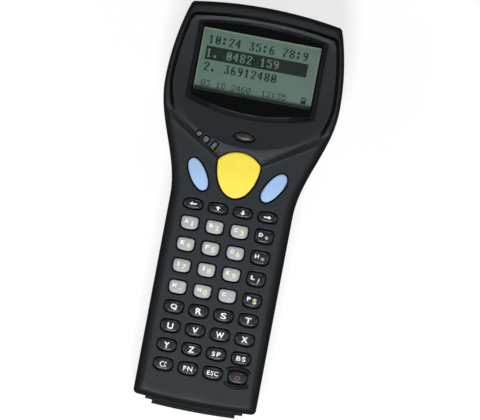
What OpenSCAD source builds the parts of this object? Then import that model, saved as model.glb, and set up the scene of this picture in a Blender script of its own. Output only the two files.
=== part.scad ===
// Portable data terminal with a barcode reader, lying on its back.
// x runs across it, y from the dock foot to the head, z from its back to its keys.

/* [Main sizes] */
// Length of the whole terminal; the rows of keys share what it leaves the handle
body_len = 172; // [160:0.5:190]

/* [Head] */
// Width of the visible screen
view_w = 49.8; // [46:0.2:54]
// Height of the visible screen
view_h = 26.2; // [24:0.2:30]
// Lens border beside the screen
lens_side = 0.7; // [0.4:0.1:1.6]
// Lens above the screen, at the middle
lens_above = 4.1; // [3.4:0.1:6]
// Lens below the screen, at the middle
lens_below = 6.8; // [6:0.2:9]
// Bow of the lens's upper edge
lens_bow_top = 2.6; // [1:0.1:3]
// Bow of the lens's lower edge
lens_bow_low = 4.8; // [2:0.1:5.4]
// Width of the sloped wall round the lens
lens_slope = 1.6; // [0.8:0.1:2.4]
// Dished panel beside the sloped wall
panel_side = 7.2; // [6:0.2:10]
// Dished panel above the sloped wall
panel_above = 2.9; // [2:0.1:6]
// Rim outside the dished panel, at the sides
rim_side = 2.7; // [2.2:0.1:4]
// Rim outside the dished panel, at the top
rim_top = 4.7; // [3.6:0.1:7]
// Screen's lower edge below the widest point of the head
view_drop = 2.1; // [0:0.1:4]
// Radius of the head's bowed sides
head_side_r = 111; // [95:1:160]
// Radius of the bowed top end
top_end_r = 185; // [140:5:300]
// Height of the head above the key face
head_rise = 2.4; // [1.8:0.1:3.2]
// Depth of the dish at its middle
dish_depth = 1.85; // [1.2:0.05:1.95]
// Radius of the dished panel's surface
dish_r = 350; // [320:10:1200]
// Lens surface below the head
lens_drop = 2.0; // [1.95:0.05:2.3]
// Height of the sloped wall round the lens
lens_rise = 1.2; // [0.8:0.05:1.6]
// Extra inset of the rounded edge at the top end
top_round_more = 1.2; // [0:0.1:1.4]

/* [Neck] */
// Length of the flare from the handle to the widest point
flare_len = 48; // [46:0.5:58]
// Lower point of the V crease, from the start of the flare
crease_point = 12.8; // [11:0.2:15]
// End of the V crease at the sides, from the start of the flare
crease_side = 31; // [29:0.2:33]
// End of the crest at the sides, from the start of the flare
crest_side = 37.3; // [36:0.2:39]
// Bow of the crest below its ends
crest_bow = 12.4; // [11:0.2:13]

/* [Handle] */
// Plain margin beside the outer keys
side_margin = 6.55; // [6:0.05:8]
// From the last row of keys to the end of the shell
chin_len = 15.2; // [14.5:0.1:22]
// Radius of the bowed lower end
foot_end_r = 284; // [200:4:500]
// Corner radius of the shell in plan
corner_r = 2.0; // [1:0.1:3]
// Inset of the key side's rounded edge on the handle
handle_round = 4.2; // [3:0.1:4.6]
// Inset of the key side's rounded edge on the head
head_round = 2.2; // [1.6:0.1:2.4]
// Height of the key side's rounded edge
edge_drop = 5.2; // [4:0.1:7]
// Inset of the back's rounded edge
back_round = 5.6; // [4:0.1:6]
// Height of the back's rounded edge
back_drop = 6.5; // [5:0.1:8]

/* [Walls and fits] */
// Wall of both housings
wall = 2.0; // [1.7:0.1:2.4]
// Running clearance between moving pieces
run_gap = 0.3; // [0.2:0.05:0.45]
// Clearance round a glued or trapped piece
fit_gap = 0.15; // [0.1:0.05:0.25]
// Thickness of the seal between the housings
seal_t = 0.6; // [0.4:0.1:1]

/* [Keys] */
// Pitch of the key columns
col_pitch = 10.53; // [10.2:0.01:12]
// Width of a letter key
key_w = 7.4; // [6.8:0.1:7.6]
// Width of a digit key
digit_w = 7.0; // [6.4:0.1:7.4]
// Arrow row below the start of the flare
arrow_drop = 1.4; // [1:0.1:3]
// Pitch of the digit rows, as a ratio of the letter rows' pitch
digit_ratio = 1.12; // [1:0.01:1.3]
// Last digit row to first letter row, as a ratio of the letter rows' pitch
break_ratio = 1.04; // [1:0.01:1.3]
// Height of a letter key, as a ratio of its pitch
letter_fill = 0.58; // [0.5:0.005:0.62]
// Height of a digit key, as a ratio of its pitch
digit_fill = 0.584; // [0.5:0.005:0.62]
// Height of an arrow key, as a ratio of the letter rows' pitch
arrow_fill = 0.481; // [0.4:0.005:0.56]
// Gap between a key and its opening
key_gap = 0.45; // [0.3:0.05:0.6]
// Ledge that keeps a key inside its opening
key_ledge = 0.9; // [0.7:0.05:1.1]
// Travel of a key
key_travel = 0.8; // [0.5:0.1:1.2]
// Height of a key's crown above the face
key_proud = 0.9; // [0.6:0.1:1.4]
// Radius of a key's crown
key_crown_r = 36; // [20:1:60]
// Half width of the scan key
scan_half = 9; // [8:0.1:9.4]
// Bottom of the scan key, from the start of the flare
scan_low = 3.9; // [3.6:0.1:5]
// Length of the scan key below its shoulders
scan_tail = 14.2; // [13:0.1:14.6]
// Height of the scan key's shoulders
scan_shoulder = 0.8; // [0.4:0.1:1.2]
// Bow of the scan key's top
scan_bow = 4.3; // [3:0.1:4.4]
// Length of an oval side key
oval_len = 14.4; // [12:0.2:15]
// Width of an oval side key
oval_w = 6.5; // [5:0.1:7]
// Middle of an oval side key, across
oval_x = 16.1; // [15.8:0.1:16.8]
// Middle of an oval side key, from the start of the flare
oval_y = 11.1; // [10.8:0.1:12.5]
// Lean of an oval side key from the x axis
oval_lean = 58; // [54:1:64]

/* [Battery] */
// Upper end of the battery cover, below the start of the flare
cover_stop = 15.4; // [15:0.1:20]
// Width of the battery pack
battery_w = 38; // [32:0.5:39]
// Thickness of the battery pack
battery_t = 15.7; // [13:0.1:20]
// Thickness of the battery cover
cover_t = 1.8; // [1.4:0.1:2]
// Cover's hinge end, from the end of the shell
toe_inset = 7.1; // [6.8:0.1:9]
// Travel of the lock slide
lock_travel = 3.0; // [2:0.1:3.6]
// Width of the lock slide
lock_w = 16; // [14:0.5:20]

/* [Inside] */
// Thickness of the circuit boards
board_t = 1.6; // [1:0.1:2]
// Space for components between the boards
board_space = 3.6; // [3:0.1:6]
// Height of the posts under the main board
standoff_h = 1.3; // [1:0.1:3]
// Thickness of the keypad mat
mat_t = 1.0; // [0.6:0.1:1.6]
// Height of a dome on the mat
dome_h = 0.4; // [0.2:0.1:0.8]
// Thickness of the clear lens
lens_t = 1.0; // [0.6:0.1:1.2]
// Thickness of the lens's seal
lens_seal_t = 0.3; // [0.1:0.05:0.4]
// Thickness of the screen module
lcd_t = 2.6; // [2:0.1:2.8]
// Width of the scan window
scan_win_w = 30; // [24:0.5:36]
// Height of the scan window
scan_win_h = 10; // [8:0.5:11]
// Radius of a housing screw's shank
screw_r = 1.2; // [1:0.05:1.4]

/* [Foot] */
// Length of the dock foot beyond the shell
foot_proud = 2.7; // [2:0.1:5]
// Half width of the dock foot
foot_half = 17.7; // [15:0.1:19]
// Half width of the step behind it
step_half = 20.7; // [20.2:0.1:22]
// Length of the step beyond the shell
step_proud = 1.2; // [0.6:0.1:1.6]
// Pitch of the dock contacts
pin_pitch = 5; // [4:0.1:6]

/* [Hidden] */
KEY_ROWS = [
    ["key_left", "key_up", "key_down", "key_right"],
    ["key_1", "key_2", "key_3", "key_plus"],
    ["key_4", "key_5", "key_6", "key_star"],
    ["key_7", "key_8", "key_9", "key_slash"],
    ["key_minus", "key_0", "key_point", "key_currency"],
    ["key_q", "key_r", "key_s", "key_t"],
    ["key_u", "key_v", "key_w", "key_x"],
    ["key_y", "key_z", "key_space", "key_back"],
    ["key_alpha", "key_fn", "key_esc", "key_power"]
];

BLACK = "#2b2d31";
eps = 0.01;
arc_n = 6;        // steps along each bowed end
round_n = 5;      // steps round an edge

// Heights, from the table up
cover_z = 0.2;
battery_z = cover_z + cover_t + run_gap;
bay_z = battery_z + battery_t + run_gap;
bay_t = 1.4;
seam_z = bay_z + bay_t + run_gap;
main_z = bay_z + bay_t + standoff_h;
front_board_z = main_z + board_t + board_space;
mat_z = front_board_z + board_t;
dome_z = mat_z + mat_t + dome_h;
stem_z = dome_z + key_travel + 0.1;
flange_z = stem_z + 0.6;
flange_t = 0.6;
ceil_z = flange_z + flange_t + run_gap;
face_z = ceil_z + wall;
head_z = face_z + head_rise;
panel_z = head_z - dish_depth;
lens_top_z = head_z - lens_drop;
lens_z = lens_top_z - lens_t;
ledge_z = lens_z - lens_seal_t;

// Places along the body, counted from the start of the flare
head_len = view_h - view_drop + lens_above + lens_slope / 2 + panel_above + rim_top;
handle_len = body_len - foot_proud - flare_len - head_len;
letter_pitch = (handle_len - chin_len - arrow_drop) / (1 + 3 * digit_ratio + break_ratio + 3);
digit_pitch = digit_ratio * letter_pitch;
digit_drop = arrow_drop + letter_pitch;
letter_drop = digit_drop + 3 * digit_pitch + break_ratio * letter_pitch;
row_drop = concat(
    [arrow_drop],
    [for (i = [0:3]) digit_drop + i * digit_pitch],
    [for (i = [0:3]) letter_drop + i * letter_pitch]
);
key_h = letter_fill * letter_pitch;
digit_h = digit_fill * digit_pitch;
arrow_h = arrow_fill * letter_pitch;
handle_w = 3 * col_pitch + key_w + 2 * side_margin;
lens_half = view_w / 2 + lens_side;
head_w = 2 * (lens_half + lens_slope + panel_side + rim_side);
y_foot = -body_len / 2;
y_shell = y_foot + foot_proud;
y_neck = y_shell + handle_len;
y_wide = y_neck + flare_len;
y_top = y_wide + head_len;
view_y = y_wide - view_drop;
view_mid = view_y + view_h / 2;
crease_y = y_neck + crease_side;
crest_y = y_neck + crest_side;
scan_mid = y_neck + scan_low + 0.7 * scan_tail;

function ramp(v, a, b) = max(0, min(1, (v - a) / (b - a)));
function mix(a, b, t) = a + (b - a) * t;
function bow(x, r) = r - sqrt(r * r - x * x);
function bow_r(half, rise) = (half * half + rise * rise) / (2 * rise);
function mirrored(side) = concat(side, [for (i = [len(side) - 2:-1:1]) [-side[i].x, side[i].y]]);

// Plan of the body: its half width at y, and its two bowed ends
function half_w(y) =
    y >= y_wide ? head_w / 2 - bow(y - y_wide, head_side_r)
    : handle_w / 2 + (head_w - handle_w) / 2 * (1 - cos(180 * ramp(y, y_neck, y_wide))) / 2;
function top_edge(x) = y_top - bow(x, top_end_r);
function foot_edge(x) = y_shell + bow(x, foot_end_r);
foot_x = handle_w / 2 - corner_r;
top_x = half_w(y_top - 2 * corner_r) - corner_r;
foot_y = foot_edge(foot_x) + corner_r;
top_y = top_edge(top_x) - corner_r;
plan_right = concat(
    [for (i = [0:arc_n - 1]) [foot_x * i / arc_n, foot_edge(foot_x * i / arc_n)]],
    [for (a = [-90:30:0]) [foot_x + corner_r * cos(a), foot_y + corner_r * sin(a)]],
    [[handle_w / 2, mix(foot_y, y_neck, 0.5)]],
    [for (i = [0:8]) let (y = mix(y_neck, crease_y, i / 8)) [half_w(y), y]],
    [for (i = [1:3]) let (y = mix(crease_y, crest_y, i / 3)) [half_w(y), y]],
    [for (i = [1:2]) let (y = mix(crest_y, y_wide, i / 2)) [half_w(y), y]],
    [for (i = [1:5]) let (y = mix(y_wide, top_y, i / 6)) [half_w(y), y]],
    [for (a = [0:30:90]) [top_x + corner_r * cos(a), top_y + corner_r * sin(a)]],
    [for (i = [arc_n - 1:-1:0]) [top_x * i / arc_n, top_edge(top_x * i / arc_n)]]
);
plan = mirrored(plan_right);
plan_n = len(plan);
i_crease = arc_n + 4 + 1 + 8;
i_crest = i_crease + 3;
end_blend = 25;   // length over which an inset draws an end in
function inset_y(y, d) =
    y - d * ramp(y, y_top - end_blend, y_top) + d * ramp(-y, -y_shell - end_blend, -y_shell);
function inset(p, d) = [p.x * (1 - d / half_w(p.y)), inset_y(p.y, d)];
function inset_plan(d) = [for (p = plan) inset(p, d)];

// Faces of a stack of rings that run counter-clockwise and mirror left to right
function wall_faces(n, rings) = [
    for (k = [0:rings - 2]) for (i = [0:n - 1]) let (j = (i + 1) % n)
        [k * n + i, (k + 1) * n + i, (k + 1) * n + j, k * n + j]
];
function cap_faces(n, first, up) = [
    for (i = [0:n / 2 - 1]) let (
        a = first + i,
        b = first + (n - i) % n,
        c = first + n - i - 1,
        d = first + i + 1,
        q = i == 0 ? [a, c, d] : i == n / 2 - 1 ? [a, b, d] : [a, b, c, d]
    ) up ? q : [for (m = [len(q) - 1:-1:0]) q[m]]
];
module loft(rings) {
    n = len(rings[0]);
    m = len(rings);
    polyhedron(
        points = [for (ring = rings) for (p = ring) p],
        faces = concat(cap_faces(n, 0, false), wall_faces(n, m), cap_faces(n, (m - 1) * n, true))
    );
}
// Levels are pairs of inset and height
module plan_loft(levels) {
    loft([for (v = levels) [for (p = plan) let (q = inset(p, v[0])) [q.x, q.y, v[1]]]]);
}

// Outer skin of the key side: its rounded edge climbs from the key face to the head
function head_share(y) = ramp(y, crease_y, crest_y);
function face_height(y) = face_z + head_rise * head_share(y);
top_blend = 9;     // length over which the top end's rounding grows
function edge_in(y) =
    mix(handle_round, head_round, head_share(y)) + top_round_more * ramp(y, y_top - top_blend, y_top - 2);
function edge_ring(a) = [
    for (p = plan) let (q = inset(p, edge_in(p.y) * (1 - cos(a))))
        [q.x, q.y, face_height(p.y) - edge_drop * (1 - sin(a))]
];
crest_half = half_w(crest_y) - head_round;
crest_r = bow_r(crest_half, crest_bow);
crest_n = 12;
crest = [
    for (i = [1:crest_n - 1]) let (x = crest_half * (2 * i / crest_n - 1))
        [x, crest_y - crest_bow + bow(x, crest_r), head_z]
];
module key_side_skin() {
    n = plan_n;
    rings = concat(
        [[for (p = plan) [p.x, p.y, seam_z + seal_t]]],
        [for (i = [0:round_n]) edge_ring(90 * i / round_n)]
    );
    m = len(rings);
    t = (m - 1) * n;
    v = m * n;
    crest_i = [for (i = [0:crest_n - 2]) v + 1 + i];
    low = concat([for (i = [i_crease:-1:0]) t + i], [for (i = [n - 1:-1:n - i_crease]) t + i]);
    fan = concat(
        low,
        [for (i = [n - i_crease - 1:-1:n - i_crest]) t + i],
        crest_i,
        [for (i = [i_crest:-1:i_crease]) t + i]
    );
    top = concat(
        [for (i = [n - i_crest:-1:i_crest]) t + i],
        [for (i = [crest_n - 2:-1:0]) crest_i[i]]
    );
    polyhedron(
        points = concat(
            [for (ring = rings) for (p = ring) p],
            [[0, y_neck + crease_point, face_z]],
            crest
        ),
        faces = concat(
            cap_faces(n, 0, false),
            wall_faces(n, m),
            [for (i = [0:len(fan) - 2]) [v, fan[i], fan[i + 1]]],
            [top]
        )
    );
}

// Outlines of the head: the dished panel and the eye-shaped lens
panel_low_x = crest_half - 1.4;
function panel_half(y) = half_w(y) - rim_side - 1.3 * ramp(-y, -y_wide, -crest_y);
function panel_outline(d) = let (
    y1 = y_top - rim_top - bow(panel_low_x, top_end_r) - d,
    x1 = panel_half(y1) - d - 1.5,
    y0 = crest_y - crest_bow + bow(panel_low_x, crest_r) + d,
    x0 = panel_low_x - d,
    right = concat(
        [for (i = [0:7]) let (x = x0 * i / 8) [x, y0 - bow(x0, crest_r) + bow(x, crest_r)]],
        [for (i = [0:8]) let (y = mix(y0, y1 - 1.5, i / 8)) [panel_half(y) - d, y]],
        [for (i = [6:-1:0]) let (x = x1 * i / 6) [x, y1 + bow(x1, top_end_r) - bow(x, top_end_r)]]
    )
) mirrored(right);
function eye_outline(d) = let (
    half = lens_half + d,
    low = view_y - lens_below - d,
    high = view_y + view_h + lens_above + d / 2,
    low_r = bow_r(half, lens_bow_low),
    high_r = bow_r(half, lens_bow_top),
    right = concat(
        [for (i = [0:8]) let (x = half * i / 8) [x, low + bow(x, low_r)]],
        [for (i = [8:-1:0]) let (x = half * i / 8) [x, high - bow(x, high_r)]]
    )
) mirrored(right);

// Rectangle about its middle with round corners
function rounded_rect(w, h, r) = [
    for (q = [0:3]) for (a = [0:30:90]) [
        (q == 1 || q == 2 ? -1 : 1) * (w / 2 - r) + r * cos(90 * q + a),
        (q >= 2 ? -1 : 1) * (h / 2 - r) + r * sin(90 * q + a)
    ]
];

// Outlines of the keys, grown by d
function squircle(w, h, m_top, m_low, n) = [
    for (i = [0:n - 1]) let (
        a = 360 * i / n,
        k = 2 / (sin(a) >= 0 ? m_top : m_low)
    ) [w / 2 * sign(cos(a)) * pow(abs(cos(a)), k), h / 2 * sign(sin(a)) * pow(abs(sin(a)), k)]
];
function col_x(c) = (c - 1.5) * col_pitch;
function row_y(r) = y_neck - row_drop[r];
function grid_outline(r, d) =
    r == 0 ? squircle(key_w + 2 * d, arrow_h + 2 * d, 3, 3, 28)
    : r <= 4 ? squircle(digit_w + 2 * d, digit_h + 2 * d, 5, 3, 28)
    : squircle(key_w + 2 * d, key_h + 2 * d, 3.8, 2.7, 28);
function scan_outline(d) = let (
    half = scan_half + d,
    mid = y_neck + scan_low + scan_tail,
    shoulder = mid + scan_shoulder,
    r = bow_r(half, scan_bow + d / 2)
) concat(
    [for (a = [180:12:360]) [half * cos(a), mid + (scan_tail + d) * sin(a)]],
    [for (i = [6:-1:-6]) let (x = half * i / 6) [x, shoulder + scan_bow + d / 2 - bow(x, r)]]
);
module oval_plan(side, d) {
    translate([side * oval_x, y_neck + oval_y])
        rotate([0, 0, side * oval_lean])
            polygon(squircle(oval_len + 2 * d, oval_w + 2 * d, 2.2, 2.2, 36));
}
module grid_plan(r, c, d) {
    translate([col_x(c), row_y(r)])
        polygon(grid_outline(r, d));
}
module all_key_holes() {
    for (r = [0:8])
        for (c = [0:3])
            key_hole()
                grid_plan(r, c, key_gap);
    key_hole()
        polygon(scan_outline(key_gap));
    for (side = [-1, 1])
        key_hole()
            oval_plan(side, key_gap);
}
module key_hole() {
    translate([0, 0, ceil_z - 1])
        linear_extrude(wall + head_rise + 2)
            children();
}

// Screws and posts that both housings share
boss_r = 2.4;
head_screw = [half_w(view_mid + 6) - wall - 2.9, view_mid + 5.6];
neck_screw = [handle_w / 2 - wall - 3.0, y_neck + 3.6];
screw_places = [for (p = [head_screw, neck_screw]) for (s = [-1, 1]) [s * p.x, p.y]];
screw_seat_z = seam_z - 7;
post_x = handle_w / 2 - wall - 2.2;
front_posts = concat(
    [for (y = [row_y(7), row_y(4), row_y(2)]) for (s = [-1, 1]) [s * post_x, y]],
    [for (s = [-1, 1]) [s * (lens_half - 2), crest_y + 1.2]]
);

// Small openings in the face: [x, y, length, width, lean, exponent]
status_y = crest_y - crest_bow + 4.8;
status_len = 8.4;
status_w = 3.4;
light_places = [
    [-18.8, crest_y - 9.4, 2.1, 2.1, 0, 2],
    [-15.6, crest_y - 11.2, 2.3, 2.3, -30, 6],
    [-11.8, crest_y - 13.3, 1.7, 3.2, -28, 6]
];
module status_plan(d) {
    translate([0, status_y])
        polygon(squircle(status_len + 2 * d, status_w + 2 * d, 1.9, 1.9, 32));
}
module light_plan(p, d) {
    translate([p[0], p[1]])
        rotate([0, 0, p[4]])
            polygon(squircle(p[2] + 2 * d, p[3] + 2 * d, p[5], p[5], 20));
}

guard_r = 8.7;
guard_rise = 4.2;
guard_half_angle = 37;
guard_rib_r = 0.5;
module power_guard() {
    for (turn = [0, 180])
        translate([col_x(3), row_y(8), face_z])
            rotate([0, 0, turn])
                translate([0, guard_rise - guard_r, 0])
                    rotate([0, 0, 90 - guard_half_angle])
                        rotate_extrude(angle = 2 * guard_half_angle, $fn = 48)
                            translate([guard_r, 0])
                                circle(r = guard_rib_r, $fn = 24);
}

module front_housing() {
    color(BLACK)
    difference() {
        union() {
            difference() {
                key_side_skin();
                plan_loft([
                    [wall, seam_z - 1],
                    [wall, ceil_z - 2.5],
                    [wall + 1.6, ceil_z]
                ]);
            }
            power_guard();
            for (p = screw_places)
                translate([p.x, p.y, seam_z])
                    cylinder(r = boss_r, h = ceil_z - seam_z + eps, $fn = 32);
            for (p = front_posts)
                translate([p.x, p.y, mat_z])
                    cylinder(r = 1.2, h = ceil_z - mat_z + eps, $fn = 24);
        }
        intersection() {
            translate([0, 0, ceil_z])
                linear_extrude(head_z)
                    polygon(panel_outline(0));
            translate([0, view_mid, panel_z + dish_r])
                sphere(r = dish_r, $fn = 360);
        }
        translate([0, 0, head_z - 0.9])
            linear_extrude(2)
                difference() {
                    polygon(panel_outline(-0.4));
                    polygon(panel_outline(0.4));
                    translate([-head_w, crest_y - head_w])
                        square([2 * head_w, head_w]);
                }
        loft([
            [for (p = eye_outline(fit_gap)) [p.x, p.y, lens_top_z]],
            [for (p = eye_outline(fit_gap)) [p.x, p.y, lens_top_z + 0.2]],
            [for (p = eye_outline(lens_slope)) [p.x, p.y, lens_top_z + 0.2 + lens_rise]],
            [for (p = eye_outline(lens_slope)) [p.x, p.y, head_z + 1]]
        ]);
        translate([0, 0, ledge_z])
            linear_extrude(lens_top_z - ledge_z + eps)
                polygon(eye_outline(fit_gap));
        translate([-view_w / 2 - 0.2, view_y - 0.2, ceil_z - 1])
            cube([view_w + 0.4, view_h + 0.4, wall + 2]);
        all_key_holes();
        translate([0, 0, ceil_z - 1])
            linear_extrude(wall + head_rise + 2)
                status_plan(fit_gap);
        for (p = light_places)
            translate([0, 0, ceil_z - 1])
                linear_extrude(wall + head_rise + 2)
                    light_plan(p, fit_gap);
        for (p = screw_places)
            translate([p.x, p.y, seam_z - 1])
                cylinder(r = screw_r + 0.05, h = 8, $fn = 24);
    }
}

// Battery bay, cover and lock on the back
toe_y = y_shell + toe_inset;
hinge_y = toe_y + cover_t / 2;
hinge_z = cover_z + cover_t / 2;
hinge_pin_r = 0.55;
hinge_pin_len = 1.2;
pin_gap = 0.07;                           // running fit of a hinge pin
lock_len = 7.4;
tab_reach = 2.8;
cover_y1 = y_neck - cover_stop;           // cover's upper end
cover_half = battery_w / 2 + 0.1;
bay_half = cover_half + run_gap;
bay_wall = 1.4;
bay_y1 = cover_y1 - 2.1;                  // inner face of the bay's upper end
bay_y0 = toe_y - run_gap;
battery_y0 = bay_y0 + run_gap;
battery_y1 = bay_y1 - run_gap;
lock_y = cover_y1 + run_gap + lock_travel;
tab_half = 5;
scoop_y = y_neck + 21.6;
scoop_half = 17;
scoop_depth = 5;
scoop_r = bow_r(scoop_half, scoop_depth);
engine_z = 4;
engine_w = 26;
engine_len = 20;
engine_h = 13;
scan_win_z = engine_z + engine_h / 2;
scan_win_t = 1.4;
scan_win_y = top_edge(scan_win_w / 2) - 1.6;
scan_frame_t = 1.6;
engine_y = scan_win_y - scan_frame_t - run_gap - engine_len;
foot_z = 5;
foot_h = 11;
head_post = [17, y_neck + 40.5];
standoffs = [
    for (t = [0.28, 0.84]) for (s = [-1, 1]) [s * (battery_w / 2 - 2), mix(toe_y, cover_y1, t)]
];

module scoop(r) {
    translate([-head_w, scoop_y, scoop_depth - scoop_r])
        rotate([0, 90, 0])
            cylinder(r = r, h = 2 * head_w, $fn = 96);
}
module foot_block(half, proud, z, h, r) {
    pts = concat(
        [[half, y_shell + 3], [-half, y_shell + 3]],
        [for (i = [-6:6]) let (x = half * i / 6) [x, y_shell - proud + bow(x, r)]]
    );
    translate([0, 0, z])
        linear_extrude(h)
            polygon(pts);
}
module rear_shell() {
    difference() {
        union() {
            plan_loft(concat(
                [for (i = [round_n:-1:0]) let (a = 90 * i / round_n)
                    [back_round * (1 - cos(a)), back_drop * (1 - sin(a))]],
                [[0, seam_z]]
            ));
            foot_block(step_half, step_proud, foot_z - 1.5, foot_h + 3, foot_end_r);
            foot_block(foot_half, foot_proud, foot_z, foot_h, foot_end_r / 2);
        }
        difference() {
            plan_loft([
                [wall + 2.4, wall],
                [wall, wall + 3.4],
                [wall, seam_z + 1]
            ]);
            scoop(scoop_r + wall);
        }
        scoop(scoop_r);
    }
}
// Bar on the hinge line of the battery cover
module hinge_bar(half, r) {
    translate([-half, hinge_y, hinge_z])
        rotate([0, 90, 0])
            cylinder(r = r, h = 2 * half, $fn = 48);
}
module rear_housing() {
    color(BLACK)
    difference() {
        union() {
            rear_shell();
            // walls and roof of the battery bay
            translate([-bay_half - bay_wall, bay_y0 - bay_wall, wall - eps])
                cube([
                    2 * (bay_half + bay_wall),
                    bay_y1 - bay_y0 + 2 * bay_wall - 0.2,
                    bay_z + bay_t - wall + eps
                ]);
            for (p = screw_places)
                translate([p.x, p.y, wall - eps])
                    cylinder(r = boss_r + 0.6, h = seam_z - wall + eps, $fn = 32);
            for (p = standoffs)
                translate([p.x, p.y, bay_z])
                    cylinder(r = 1.5, h = main_z - bay_z, $fn = 24);
            for (s = [-1, 1])
                translate([s * head_post.x, head_post.y, wall - eps])
                    cylinder(r = 2, h = main_z - wall + eps, $fn = 24);
            for (s = [-1, 1])
                translate([s * (engine_w / 2 - 4) - 4, engine_y + 3, wall - eps])
                    cube([8, engine_len - 6, engine_z - wall + eps]);
            // frame round the scan window
            translate([
                -scan_win_w / 2 - 1.6,
                scan_win_y - scan_frame_t,
                scan_win_z - scan_win_h / 2 - 1.6
            ])
                cube([scan_win_w + 3.2, scan_frame_t + 1, scan_win_h + 3.2]);
        }
        // battery bay and the mouth that the cover closes
        translate([-bay_half, bay_y0, wall + run_gap])
            cube([2 * bay_half, bay_y1 - bay_y0, bay_z - wall - run_gap]);
        translate([-bay_half, bay_y0, -1])
            cube([2 * bay_half, cover_y1 + run_gap - bay_y0, wall + 1 + run_gap]);
        hinge_bar(cover_half + hinge_pin_len + run_gap, hinge_pin_r + pin_gap);
        // gate of the lock slide
        translate([-lock_w / 2 - run_gap, cover_y1 - 1, -1])
            cube([lock_w + 2 * run_gap, lock_y + lock_len + run_gap - cover_y1 + 1, wall + 1 + eps]);
        // gate of the battery contacts
        translate([-contact_w / 2 - fit_gap, contact_y - fit_gap, bay_z - 1])
            cube([contact_w + 2 * fit_gap, contact_len + 2 * fit_gap, bay_t + 2]);
        for (p = screw_places) {
            translate([p.x, p.y, -1])
                cylinder(r = screw_r + 0.9, h = screw_seat_z + 1, $fn = 32);
            translate([p.x, p.y, screw_seat_z - 1])
                cylinder(r = screw_r + 0.15, h = 10, $fn = 24);
        }
        // scan window in the top end
        translate([-scan_win_w / 2 - fit_gap, scan_win_y, scan_win_z - scan_win_h / 2 - fit_gap])
            cube([scan_win_w + 2 * fit_gap, 10, scan_win_h + 2 * fit_gap]);
        translate([-scan_win_w / 2 + 1.5, scan_win_y - 6, scan_win_z - scan_win_h / 2 + 1.2])
            cube([scan_win_w - 3, 10, scan_win_h - 2.4]);
        for (i = [-2:2])
            translate([i * pin_pitch, y_foot - 1, foot_z + foot_h / 2])
                rotate([-90, 0, 0])
                    cylinder(r = 1.15, h = 6, $fn = 24);
    }
}

module housing_seal() {
    color("#141518")
    translate([0, 0, seam_z])
        linear_extrude(seal_t)
            difference() {
                polygon(inset_plan(0.45));
                polygon(inset_plan(wall - 0.1));
            }
}

module housing_screws() {
    color("silver")
    for (p = screw_places)
        translate([p.x, p.y, 0])
            difference() {
                union() {
                    translate([0, 0, screw_seat_z])
                        cylinder(r = screw_r, h = 12.5, $fn = 24);
                    translate([0, 0, screw_seat_z - 1.7])
                        cylinder(r = screw_r + 0.75, h = 1.7, $fn = 32);
                }
                for (a = [0, 90])
                    rotate([0, 0, a])
                        translate([-1.3, -0.25, screw_seat_z - 2])
                            cube([2.6, 0.5, 1.1]);
            }
}

module display_lens() {
    color("#10141a")
    translate([0, 0, lens_z])
        linear_extrude(lens_t)
            polygon(eye_outline(0));
}

module lens_seal() {
    color("#050607")
    translate([0, 0, ledge_z])
        linear_extrude(lens_seal_t)
            difference() {
                polygon(eye_outline(0));
                translate([-view_w / 2, view_y])
                    square([view_w, view_h]);
            }
}

lcd_border = 2.2;
lcd_half = view_w / 2 + lcd_border - 0.5;
lcd_y = view_y - lcd_border;
lcd_h = view_h + 2 * lcd_border;
bezel_t = 0.5;
module lcd_module() {
    color("#7f9a88")
    translate([-lcd_half + bezel_t, lcd_y, mat_z])
        cube([2 * (lcd_half - bezel_t), lcd_h, lcd_t]);
}
module lcd_bezel() {
    color("silver")
    difference() {
        translate([-lcd_half - fit_gap, lcd_y - bezel_t - fit_gap, mat_z])
            cube([2 * (lcd_half + fit_gap), lcd_h + 2 * (bezel_t + fit_gap), lcd_t + fit_gap + bezel_t]);
        translate([-lcd_half + bezel_t - fit_gap, lcd_y - fit_gap, mat_z - 1])
            cube([2 * (lcd_half - bezel_t + fit_gap), lcd_h + 2 * fit_gap, lcd_t + fit_gap + 1]);
        translate([-view_w / 2 - 0.1, view_y - 0.1, mat_z])
            cube([view_w + 0.2, view_h + 0.2, lcd_t + 2]);
    }
}

status_top_z = lens_top_z + 1.1;
module status_lens() {
    color("#8a7868")
    union() {
        translate([0, 0, ceil_z])
            linear_extrude(status_top_z - ceil_z)
                status_plan(0);
        translate([0, 0, ceil_z - 0.6])
            linear_extrude(0.6)
                status_plan(0.8);
    }
}

pipe_z = face_z + 0.5;
module light_pipe() {
    color("#b9b9c2")
    union() {
        for (p = light_places)
            translate([0, 0, ceil_z - eps])
                linear_extrude(pipe_z - ceil_z + eps)
                    light_plan(p, 0);
        translate([mix(light_places[0].x, light_places[2].x, 0.5),
                mix(light_places[0].y, light_places[2].y, 0.5), ceil_z - 0.9])
            rotate([0, 0, -30])
                translate([-5.6, -2.1, 0])
                    cube([11.2, 4.2, 0.9]);
    }
}

module keypad_mat() {
    mat_half = 1.5 * col_pitch + key_w / 2 + key_ledge;
    low = row_y(8) - key_h / 2 - 1.6;
    high = y_neck + scan_low + scan_tail + 3;
    color("#4a4d52")
    union() {
        difference() {
            translate([-mat_half, low, mat_z])
                cube([2 * mat_half, high - low, mat_t]);
            for (p = screw_places)
                translate([p.x, p.y, mat_z - 1])
                    cylinder(r = boss_r + run_gap, h = mat_t + 2, $fn = 32);
        }
        for (r = [0:8])
            for (c = [0:3])
                dome(col_x(c), row_y(r), 1.8);
        dome(0, scan_mid, 4);
        for (s = [-1, 1])
            dome(s * oval_x, y_neck + oval_y, 2);
    }
}
module dome(x, y, r) {
    translate([x, y, mat_z + mat_t - eps])
        cylinder(r = r, h = dome_h + eps, $fn = 32);
}

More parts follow.
